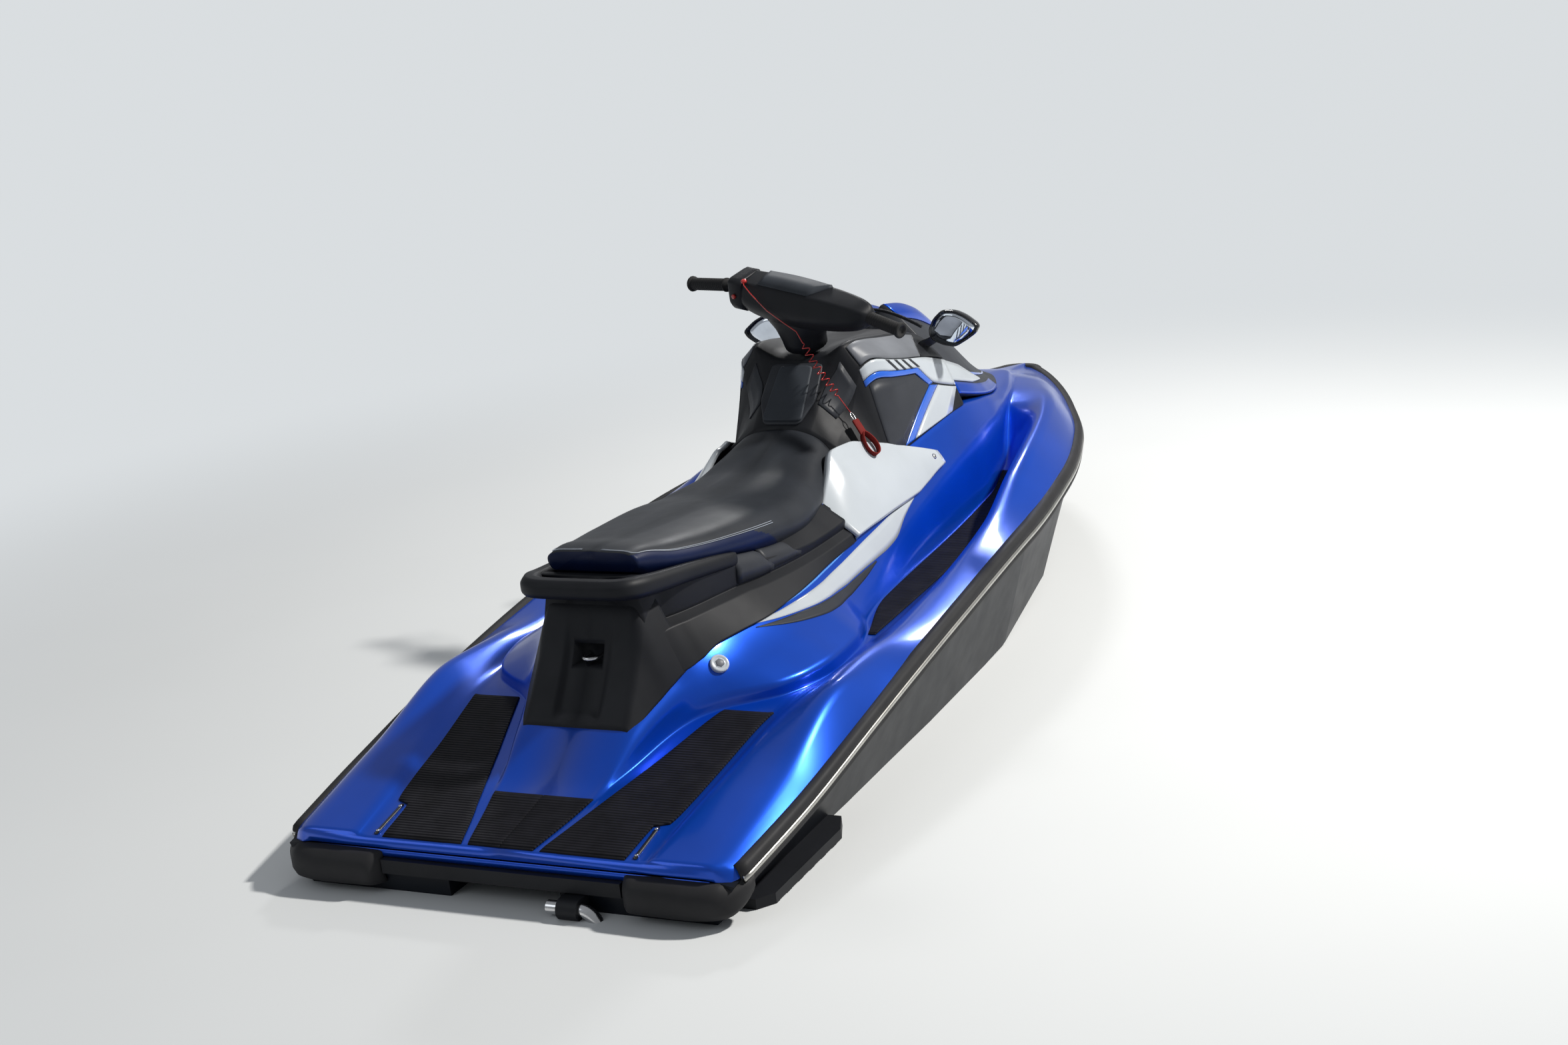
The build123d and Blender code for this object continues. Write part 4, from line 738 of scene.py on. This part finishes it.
def rail_sections(profile):
    """The rail's profile, out and up from the seam, at each point of the path."""
    points = plan_path()
    sections = []
    for i, point in enumerate(points):
        ahead = points[min(i + 1, len(points) - 1)] - points[max(i - 1, 0)]
        if i == len(points) - 1:
            ahead = Vector((0, -1, 0))
        out = Vector((-ahead.y, ahead.x, 0)).normalized()
        sections.append([point + out * o + UP * u for o, u in profile])
    return sections


def make_rail():
    body = [(-0.02, 0.024), (0.0, 0.026), (0.007, 0.021), (0.01, 0.012), (0.01, 0.007), (0.006, 0.006),
            (0.006, -0.007), (0.01, -0.008), (0.01, -0.015), (0.006, -0.022), (-0.008, -0.026),
            (-0.02, -0.026)]
    insert = [(0.004, 0.0062), (0.0095, 0.0055), (0.0125, 0.003), (0.0125, -0.003), (0.0095, -0.0065),
              (0.004, -0.0068)]
    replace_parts(skin("rail_moulding", rail_sections(body), "rubber"), "rub_rail")
    skin("rail_insert", rail_sections(insert), "insert")


# Steering frame: across the bar is local Y, up the column local Z
steer_origin = Vector((0.092, 0, 0.72))
steer_rake = radians(20)
steer_turn = radians(20)
steer_ahead = Vector((
    cos(steer_turn) * cos(steer_rake), -sin(steer_turn), cos(steer_turn) * sin(steer_rake)))
steer_up = Vector((-sin(steer_rake), 0, cos(steer_rake)))
steer_left = steer_up.cross(steer_ahead)
steer_axes = Matrix((steer_ahead, steer_left, steer_up)).transposed()
steer_place = Matrix.Translation(steer_origin) @ steer_axes.to_4x4()

# Bar cover: distance along the bar, aft and fore faces, bottom and top, inset of the top's aft edge
cover_line = line_mm(
    (-262, -14, 12, 116, 140, 4), (-250, -30, 26, 102, 152, 8), (-215, -42, 34, 90, 160, 14),
    (-120, -54, 42, 80, 167, 24), (0, -58, 48, 72, 169, 28), (100, -54, 44, 80, 170, 24),
    (136, -50, 42, 86, 170, 20))
on_bar = {"body": "handlebar", "both": False, "place": steer_place}


def bar_section(u, corners, cuts):
    """A rounded section at u along the bar, through corners of (ahead, up) in the steering frame."""
    return rounded([(v, u, w) for v, w in corners], cuts)


def cover_section(u):
    aft, fore, low, high, inset = cover_line(u)
    mid = low + (high - low) * 0.42
    corners = [(0, low), (aft + 0.016, low), (aft, mid), (aft + inset, high - 0.003), (fore - 0.008, high),
               (fore, mid), (fore - 0.014, low), (0, low)]
    return bar_section(u, corners, (0.01, 0.014, 0.008, 0.01, 0.014, 0.01))


def make_handlebar():
    """The bar's cover with its inset panel, the switch pod at its port end and the neck under it."""
    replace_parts(loft("bar_shell", cover_section, (-0.262, 0.136, 0.008), "black", **on_bar), "bar_cover")
    pod = []
    ends = ((0.137, 0.004), (0.14, 0.0), (0.178, 0.0), (0.185, 0.003), (0.189, 0.008), (0.19, 0.014))
    for u, shrink in ends:
        aft, fore, low, high = -0.048 + shrink, 0.042 - shrink, 0.086 + shrink, 0.172 - shrink
        corners = [(0, low), (aft + 0.012, low), (aft, low + 0.02), (aft + 0.012, high - 0.004),
                   (aft + 0.024, high), (fore, high - 0.004), (fore, low + 0.01), (0, low)]
        pod.append(bar_section(u, corners, (0.01, 0.01, 0.006, 0.006, 0.01, 0.01)))
    skin("switch_pod", pod, "black", **on_bar)
    inset = []
    for u in stations(-0.12, 0.088, 0.008):
        aft, fore, _, high, setback = cover_line(u)
        near = aft + setback + 0.006
        far = fore - 0.01
        if u < -0.08:
            near += (far - near) * (-0.08 - u) / 0.042
        inset.append([(near, u - 0.002, high - 0.006), (near, u - 0.002, high + 0.0005),
                      ((near + far) / 2, u, high + 0.005), (far, u + 0.004, high + 0.003),
                      (far, u + 0.004, high - 0.006)])
    skin("bar_inset", inset, "cool_grey", **on_bar)
    neck = []
    for w, half_u, half_v in ((0.0, 0.058, 0.05), (0.02, 0.062, 0.05), (0.05, 0.08, 0.048),
                              (0.08, 0.118, 0.046), (0.092, 0.124, 0.044)):
        neck.append([(half_v * cos(a), half_u * sin(a), w) for a in circle(24)])
    skin("bar_neck", neck, "black", **on_bar)


def make_grips():
    """Ribbed grips, thin levers ahead of them and the red stop button."""
    rings = [(0, 0.0135), (0.24, 0.0135), (0.245, 0.018), (0.27, 0.018), (0.275, 0.015)]
    for i in range(16):
        at = 0.29 + i * 0.041
        rings += [(at, 0.015), (at + 0.012, 0.016), (at + 0.028, 0.016), (at + 0.039, 0.015)]
    rings += [(0.95, 0.015), (0.955, 0.019), (0.985, 0.02), (1.0, 0.0185), (1.0, 0.012), (0.975, 0.011)]
    lever = [(0.03, 0.17), (0.046, 0.19), (0.057, 0.212), (0.058, 0.26), (0.055, 0.3), (0.052, 0.33)]
    grips, levers = [], []
    for word, side in PORT_AND_STARBOARD:
        start = steer_place @ Vector((0.0, side * 0.186, 0.134))
        end = steer_place @ Vector((-0.008, side * 0.358, 0.112))
        grips.append(turned("grip_" + word, rings, start, end, "grip", "handlebar"))
    for word, side in PORT_AND_STARBOARD:
        shift = 0.0 if side > 0 else 0.032
        points = []
        for i, (v, u) in enumerate(lever):
            points.append(steer_place @ Vector((v, side * (u + shift), 0.118 - 0.03 * i / 5)))
        route = rounded(points, [0.02] * 4, 4)
        levers.append(pipe("lever_" + word, route, 0.0042, "black", "handlebar", count=10, both=False))
    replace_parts(grips[0], "grips")
    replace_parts(levers[0], "levers")
    button = steer_place @ Vector((-0.044, 0.162, 0.132))
    axis = steer_axes @ Vector((-0.006, 0, 0.001))
    turned("stop_button", [(0, 0.006), (0.8, 0.006), (1, 0.0045), (1, 0.0004)], button, button + axis, "red",
           "handlebar", "black_plastic", 20)


# Stop lanyard: its line along the bar cover's aft face, in the steering frame
cord_on_cover = [
    (-0.032, 0.125, 0.1745), (-0.041, 0.117, 0.17), (-0.05, 0.09, 0.156), (-0.0605, 0.036, 0.124),
    (-0.0605, -0.01, 0.099), (-0.058, -0.046, 0.078)]
# The middle of its coil and its end, in the craft's frame
coil_middle = [
    (-0.006, -0.04, 0.742), (-0.011, -0.066, 0.694), (-0.015, -0.096, 0.65), (-0.014, -0.124, 0.609)]
cord_end = (-0.012, -0.15, 0.568)
coil_turns = 9
coil_radius = 0.0085
cord_thick = 0.0027


def lanyard_route():
    """Points along the cord, from its clip on the cover through its coil to the snap hook."""
    route = [steer_place @ Vector(p) for p in cord_on_cover]
    middle = smooth_line([(i, *p) for i, p in enumerate(coil_middle)])
    count = coil_turns * 14
    for i in range(count + 1):
        at = i / count
        ahead = (Vector(middle(at * 3 + 0.02)) - Vector(middle(at * 3 - 0.02))).normalized()
        side = ahead.cross(Vector((1, 0, 0))).normalized()
        over = side.cross(ahead)
        swell = coil_radius * min(1, at / 0.08, (1 - at) / 0.08)
        angle = 2 * pi * coil_turns * at
        route.append(Vector(middle(at * 3)) + (side * cos(angle) + over * sin(angle)) * swell)
    return route + [Vector(cord_end)]


def make_lanyard():
    """The engine's stop lanyard: a clip on the bar's cover, a curly cord, a snap hook and a strap."""
    route = lanyard_route()
    cord = pipe("lanyard_cord", route, cord_thick / 2, "red", both=False)
    clip = steer_place @ Vector((-0.03, 0.126, 0.171))
    turned("lanyard_clip", [(0, 0.0075), (0.75, 0.0075), (1, 0.0055), (1, 0.0005)], clip,
           clip + steer_axes @ UP * 0.007, "red", count=16)
    down = Vector((-0.16, -0.555, -0.82)).normalized()
    away = Vector((-0.3, -0.8, 0.53)).normalized()
    away = (away - down * away.dot(down)).normalized()
    over = away.cross(down)
    end = Vector(cord_end)
    hook = [end + down * (0.011 - 0.012 * cos(a)) + over * 0.0045 * sin(a) for a in circle(20) + [2 * pi]]
    snap = pipe("lanyard_hook", hook, 0.0011, "steel", both=False)
    top = end + down * 0.02
    outline = ((-1, -0.7), (-1, 0.7), (-0.9, 1), (0.9, 1), (1, 0.7), (1, -0.7), (0.9, -1), (-0.9, -1))
    tab = []
    for share in (0, 0.06, 0.94, 1):
        half = 0.01 if 0 < share < 1 else 0.0086
        here = top + down * 0.042 * share
        tab.append([here + over * (half * a) + away * (0.0026 * b) for a, b in outline])
    skin("lanyard_tab", tab, "webbing", both=False)
    loop = []
    for a in circle(32) + [2 * pi]:
        here = (top + down * 0.037 + down * (0.032 - 0.032 * cos(a))
                + over * (0.021 * sin(a) * (0.35 + 0.65 * sin(a / 2))))
        pace = down * (0.032 * sin(a)) + over * (0.017 * cos(a) + 0.005)
        flat = pace.cross(away).normalized() * 0.0012
        wide = away * 0.0085
        loop.append([here + flat + wide, here - flat + wide, here - flat - wide, here + flat - wide])
    skin("lanyard_loop", loop, "webbing", both=False)


# Mirror outline, outboard and up from the craft's middle, clockwise seen from aft on the port side
mirror_outline = [
    (0.198, 0.682), (0.212, 0.708), (0.238, 0.73), (0.272, 0.728), (0.302, 0.714), (0.337, 0.686),
    (0.326, 0.668), (0.298, 0.65), (0.266, 0.633), (0.24, 0.637), (0.208, 0.65), (0.198, 0.664)]
mirror_centre = (0.262, 0.683)
mirror_face_x = 0.398


def closed_smooth(points, times=2):
    """A closed outline with its corners cut, more finely each time."""
    for _ in range(times):
        made = []
        for a, b in zip(points, points[1:] + points[:1]):
            made += [tuple(p * (1 - cut) + q * cut for p, q in zip(a, b)) for cut in (0.18, 0.82)]
        points = made
    return points


def mirror_rings(table):
    """The mirror's outline at each (distance ahead, scale) of a table."""
    middle_y, middle_z = mirror_centre
    outline = closed_smooth(mirror_outline)
    return [[(mirror_face_x + ahead, middle_y + (y - middle_y) * scale, middle_z + (z - middle_z) * scale)
             for y, z in outline] for ahead, scale in table]


def make_mirrors():
    shell = mirror_rings([
        (0.004, 0.9), (0.001, 0.915), (-0.002, 0.93), (-0.003, 0.97), (0.0, 1.0), (0.006, 1.01),
        (0.016, 0.985), (0.03, 0.9), (0.042, 0.74), (0.048, 0.45), (0.05, 0.05)])
    glass = mirror_rings([(0.006, 0.91), (0.0015, 0.912), (0.001, 0.6), (0.0008, 0.05)])
    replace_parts(skin("mirror_shells", shell, "gloss_black"), "mirrors")
    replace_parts(skin("mirror_panes", glass, "mirror"), "mirror_glasses")
    arm = []
    for t in [i / 10 for i in range(11)]:
        x = 0.4 + 0.022 * sin(t * pi / 2)
        y = 0.176 + 0.062 * t
        z = 0.64 + 0.036 * t ** 1.4
        half_y, half_x = 0.022 - 0.008 * t, 0.03 - 0.014 * t
        ring = []
        for a in circle(20):
            out = half_y * sin(a) * 0.7
            ring.append((x + half_x * cos(a), y + out, z + out - 0.01 * cos(a)))
        arm.append(ring)
    skin("mirror_arms", arm, "black")


# Grab handle, from its tip back to the centre line: its middle's place, half-width and half-height
handle_rows = [
    (-730, 186, 432, 3, 8), (-738, 184, 432, 9, 15), (-800, 173, 441, 15, 18), (-900, 155, 453, 18, 20),
    (-1000, 139, 464, 21, 22), (-1050, 129, 471, 23, 23), (-1082, 112, 475, 23, 22),
    (-1093, 80, 476, 23, 21), (-1094, 40, 476, 23, 21), (-1094, 0, 476, 23, 21)]


def make_grab_handle():
    path = handle_rows + [(x, -y, z, w, h) for x, y, z, w, h in reversed(handle_rows[:-1])]
    line = line_mm(*[(1000 * i, *row) for i, row in enumerate(path)])
    profile = [
        (-1, 0.45), (-0.55, 1), (0.45, 1), (0.95, 0.55), (1, -0.55), (0.6, -1), (-0.6, -1), (-1, -0.5)]
    sections = []
    for at in stations(0, len(path) - 1, 0.2):
        x, y, z, w, h = line(at)
        ahead = (Vector(line(at + 0.05)[:3]) - Vector(line(at - 0.05)[:3])).normalized()
        out = Vector((-ahead.y, ahead.x, 0)).normalized()
        ring = [Vector((x, y, z)) + out * (w * a) + UP * (h * b) for a, b in profile]
        sections.append(rounded(ring + ring[:2], [0.006] * 8, 3)[4:])
    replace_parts(skin("grab_bar", sections, "black", both=False), "grab_handle")


# Cover behind the seat: x, height at the centre, then half-breadth and height of its edge and of its foot
cover_rows = line_mm(
    (-1172, 204, 120, 202, 134, 190), (-1150, 232, 122, 228, 142, 200), (-1110, 286, 122, 278, 154, 222),
    (-1075, 344, 120, 332, 166, 240), (-1055, 392, 120, 374, 172, 250), (-1040, 424, 120, 394, 176, 256),
    (-1010, 440, 122, 410, 184, 268), (-985, 446, 128, 414, 192, 276))
recess_low = (-1.3, -0.036, 0.3035)
recess_high = (-1.042, 0.036, 0.348)


def rear_section(x):
    """Half of the rear cover's section. A shallow channel runs down its aft slope."""
    top, edge_y, edge_z, foot_y, foot_z = cover_rows(x)
    drop = 0.014 * clamp((-1.05 - x) / 0.02) * clamp((x + 1.166) / 0.02)
    corners = [(0, top - drop), (0.046, top - drop), (0.058, top), (edge_y * 0.86, top), (edge_y, edge_z),
               (foot_y, foot_z), (foot_y - 0.012, foot_z - 0.012), (0, foot_z - 0.012)]
    return across(x, corners, (0.006, 0.006, 0.012, 0.012, 0.005, 0.004))


def make_rear_cover():
    piece = loft("tail_cover", rear_section, (-1.172, -0.985, 0.006), "black")
    cut_box(piece, recess_low, recess_high)
    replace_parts(piece, "rear_cover")


# Mats: x, inner and outer edge
side_mat = line_mm(
    (-1492, 92, 284), (-1382, 126, 292), (-1374, 129, 322), (-1310, 150, 334), (-1165, 197, 348),
    (-1030, 240, 364), (-988, 254, 371))
centre_mat = line_mm((-1492, 0, 76), (-1318, 0, 118))
footwell_mat = line_mm(
    (-540, 388, 406), (-300, 326, 406), (50, 312, 398), (300, 308, 370), (450, 305, 344), (590, 286, 304))
mat_thick = 0.0045
bar_y = 0.304


def floor_point(x, y):
    """The deck's height in the well, at a place in plan."""
    section = deck_section(x)
    for inner, outer in zip(section, section[1:]):
        if inner[1] <= y <= outer[1] and outer[1] > inner[1]:
            return mix(inner[2], outer[2], (y - inner[1]) / (outer[1] - inner[1]))
    return section[0][2]


def mat_piece(name, line, start, end, columns=8):
    sections = []
    for x in stations(start, end, 0.012):
        inner, outer = line(x)
        ys = [inner + (outer - inner) * i / columns for i in range(columns + 1)]
        shrink = 0.0 if start + 0.004 < x < end - 0.004 else 0.0015
        top = [(x, y, floor_point(x, y) + mat_thick - shrink) for y in ys]
        top[0] = (x, ys[0] + 0.0015, top[0][2])
        top[-1] = (x, ys[-1] - 0.0015, top[-1][2])
        low = [(x, y, floor_point(x, y) - 0.003) for y in (ys[-1], ys[0])]
        sections.append(top + [(x, ys[-1], top[-1][2] - 0.0015)] + low + [(x, ys[0], top[0][2] - 0.0015)])
    return skin(name, sections, "mat")


def make_mats():
    """The ribbed mats, and the bolted bar in each side mat's outer corner."""
    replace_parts(mat_piece("side_mats", side_mat, -1.492, -0.988), "platform_mats")
    mat_piece("centre_mats", centre_mat, -1.492, -1.318)
    bars = []
    for x in stations(-1.486, -1.386, 0.01):
        base = floor_point(x, bar_y)
        bars.append([(x, 0.3, base - 0.002), (x, 0.3005, base + 0.004), (x, 0.3075, base + 0.004),
                     (x, 0.308, base - 0.002)])
    skin("bolt_bars", bars, "gloss_black")
    for number, x, side in ((3, -1.478, 1), (1, -1.478, -1), (4, -1.394, 1), (2, -1.394, -1)):
        spot = Vector((x, side * bar_y, floor_point(x, bar_y) + 0.003))
        turned("bar_screw_%d" % number, [(0, 0.0042), (0.6, 0.0042), (1, 0.003), (1, 0.0004)], spot,
               spot + UP * 0.003, "steel", count=12)
    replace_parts(mat_piece("well_mats", footwell_mat, -0.54, 0.59), "footwell_mats")


# Corner bumper at the stern, in plan
bumper_plan = [
    (-1.44, 0.5), (-1.44, 0.536), (-1.47, 0.535), (-1.502, 0.524), (-1.53, 0.494), (-1.544, 0.44),
    (-1.54, 0.3), (-1.514, 0.282), (-1.48, 0.282)]


def make_bumpers():
    """The moulded corners at the stern, which taper forward round the corner, and the blue lip between."""
    cuts = [0.006, 0.014, 0.018, 0.022, 0.03, 0.014, 0.008]
    outline = rounded([(x, y, 0) for x, y in bumper_plan + bumper_plan[:1]], cuts, 4)[:-1]
    levels = ((-0.021, 0.012), (-0.016, 0.004), (-0.006, 0.0), (0.02, 0.0), (0.034, 0.006), (0.044, 0.016),
              (0.047, 0.024))
    rings = []
    for z, inset in levels:
        ring = []
        for corner in outline:
            aft = clamp((-1.47 - corner.x) / 0.02)
            out = clamp((corner.y - 0.49) / 0.03)
            rise = clamp((corner.x + 1.51) / 0.07) * (0.03 if z < 0.03 else 0.01)
            ring.append((corner.x + inset * aft, corner.y - inset * out, z + rise))
        rings.append(ring)
    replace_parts(skin("corner_bumpers", rings, "rubber"), "stern_bumpers")
    lip = [[(-1.498, y, 0.034), (-1.5012, y, 0.034), (-1.5012, y, 0.048), (-1.498, y, 0.05)]
           for y in stations(-0.47, 0.47, 0.02)]
    skin("transom_lip", lip, "blue", both=False)


cap_x, cap_y = -0.94, 0.229


def make_cap():
    """The flushing port's cap: a rim, a groove and a domed middle."""
    slope_x = (floor_point(cap_x + 0.02, cap_y) - floor_point(cap_x - 0.02, cap_y)) / 0.04
    slope_y = (floor_point(cap_x, cap_y + 0.02) - floor_point(cap_x, cap_y - 0.02)) / 0.04
    axis = Vector((-slope_x, slope_y, 1)).normalized()
    start = Vector((cap_x, -cap_y, floor_point(cap_x, cap_y))) - axis * 0.008
    rings = [(0, 0.0205), (0.88, 0.0208), (0.97, 0.0195), (1.0, 0.018), (1.0, 0.015), (0.93, 0.0135),
             (0.93, 0.0115), (1.0, 0.01), (1.02, 0.006), (1.02, 0.0006)]
    rim = turned("flush_cap_face", rings, start, start + axis * 0.0155, "white", count=40)
    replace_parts(rim, "flush_cap")
    turned("flush_cap_middle", [(0, 0.0102), (0.8, 0.0102), (1, 0.0085), (1, 0.0006)], start + axis * 0.012,
           start + axis * 0.0168, "shoulder", ROOT, "white_panel", 6)


# Lid of the glove box, on the console's slope: half of its outline, from its aft edge up the slope
slope_angle = radians(43.36)
lid_place = Matrix.Translation((-0.1, 0, 0.552)) @ Matrix.Rotation(-slope_angle, 4, "Y")
lid_half = [(0.018, 0.0), (0.018, 0.054), (0.172, 0.045), (0.178, 0.036), (0.178, 0.0)]
panel_half = [(0.01, 0.0), (0.01, 0.048), (0.08, 0.074), (0.18, 0.07), (0.186, 0.06), (0.186, 0.0)]


def plate(name, half, heights, finish, body=ROOT):
    """A plate on the console's slope, over half an outline. At each height it is drawn in by an inset."""
    outline = rounded([(x, y, 0) for x, y in half], [0.014] * (len(half) - 2))
    middle = (half[0][0] + half[-1][0]) / 2
    rings = []
    for height, inset in heights:
        ring = []
        for x, y, _ in outline:
            toward = inset * min(1, (abs(x - middle) + 1e-6) / 0.02)
            ring.append((x + (toward if x < middle else -toward), max(0.0, y - inset), height))
        rings.append(ring)
    return skin(name, rings, finish, body, closed=False, place=lid_place)


def make_lid():
    """The glove box lid on its six-sided panel, whose corners wrap onto the console's sides."""
    plate("lid_panel", panel_half, ((-0.004, 0), (0.003, 0), (0.0042, 0.002), (0.0044, 0.006)), "dark_grey")
    decal("lid_panel_corner", cowl_point, [(-0.03, 1.36), (-0.01, 1.26), (0.034, 0.98)],
          [(-0.04, 1.97), (0.0, 1.97), (0.032, 1.9)], "dark_grey", 0.0034, steps=10, columns=3)
    piece = plate("glove_lid", lid_half, ((0.0005, 0.003), (0.003, 0.0), (0.0065, 0.0), (0.0088, 0.0015),
                                          (0.0092, 0.005)), "cool_grey", "glovebox")
    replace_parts(piece, "glovebox_lid")


# Floor and light
floor_half = 60.0
floor_height = -0.04
floor_colour = (0.72, 0.74, 0.75)
pale_colour = (0.7, 0.73, 0.75)
# The floor's shading gives way to the plain pale colour between these distances from the craft's middle
shaded_to, plain_from = 1.6, 4.4


def seen_rays(tree, mirrored):
    """1 for rays from the camera and refracted ones, less for mirrored ones, 0 for light on the craft."""
    rays = add_node(tree, "LightPath")
    total = add_node(tree, "Math", {0: rays["Is Glossy Ray"], 1: mirrored}, operation="MULTIPLY")
    for name in ("Is Camera Ray", "Is Transmission Ray"):
        total = add_node(tree, "Math", {0: total["Value"], 1: rays[name]}, operation="MAXIMUM")
    return total["Value"]


def mix_pale(tree, kind, share, shaded, output):
    """Mixes a plain pale shader over the shaded one, by a share."""
    pale = add_node(tree, kind, {"Color": (*pale_colour, 1), "Strength": 1.0})[0]
    blend = add_node(tree, "MixShader", {0: share, 1: shaded, 2: pale})
    set_inputs(tree, tree.nodes[output], {"Surface": blend["Shader"]})


def make_stage():
    maker = bmesh.new()
    bmesh.ops.create_grid(maker, x_segments=1, y_segments=1, size=floor_half)
    mesh = bpy.data.meshes.new("floor")
    maker.to_mesh(mesh)
    maker.free()
    floor = add_to_scene("floor", mesh)
    floor.location.z = floor_height
    material, tree = tinted_material("pale_floor", floor_colour, 0.6, 0.02, 0.7)
    mesh.materials.append(material)
    reach = add_node(tree, "VectorMath", {0: object_point(tree)}, operation="LENGTH")
    inputs = {"From Min": shaded_to, "From Max": plain_from, "Value": reach["Value"]}
    far = add_node(tree, "MapRange", inputs, interpolation_type="SMOOTHSTEP")
    share = add_node(tree, "Math", {0: far["Result"], 1: seen_rays(tree, 0.6)}, operation="MULTIPLY")
    shaded = tree.nodes["Principled BSDF"].outputs["BSDF"]
    mix_pale(tree, "Emission", share["Value"], shaded, "Material Output")


def make_lamp(name, place, target, size, power, colour=(1, 1, 1)):
    data = bpy.data.lights.new(name, "AREA")
    data.shape = "RECTANGLE"
    data.size, data.size_y = size
    data.energy = power
    data.color = colour
    lamp = add_to_scene(name, data)
    lamp.location = place
    lamp.rotation_euler = (Vector(target) - Vector(place)).to_track_quat("-Z", "Y").to_euler()


def make_lights():
    world = bpy.data.worlds.new("studio")
    world.use_nodes = True
    tree = world.node_tree
    sky = tree.nodes["Background"]
    set_inputs(tree, sky, {"Color": (0.86, 0.9, 0.95, 1), "Strength": 0.24})
    mix_pale(tree, "Background", seen_rays(tree, 0.15), sky.outputs["Background"], "World Output")
    bpy.context.scene.world = world
    make_lamp("key", (1.6, -4.2, 5.2), (0, 0, 0.2), (0.4, 0.4), 560, (1.0, 0.97, 0.92))
    make_lamp("rim", (4.5, 1.5, 3.6), (0.2, 0, 0.3), (0.8, 0.4), 60)
    make_lamp("fill", (-4.5, 2.8, 3.2), (-0.3, 0, 0.2), (3.0, 2.0), 26, (0.9, 0.95, 1.0))
    bpy.context.scene.view_settings.view_transform = "Standard"


jobs = (
    make_camera, make_stage, make_lights, dress_nodes, make_deck, make_console, make_cowl, make_hood,
    make_seat_base, make_seat, make_knee_panels, make_flanks, make_rail, make_handlebar, make_grips,
    make_lanyard, make_mirrors, make_grab_handle, make_rear_cover, make_mats, make_bumpers, make_cap,
    make_lid)
for job in jobs:
    job()
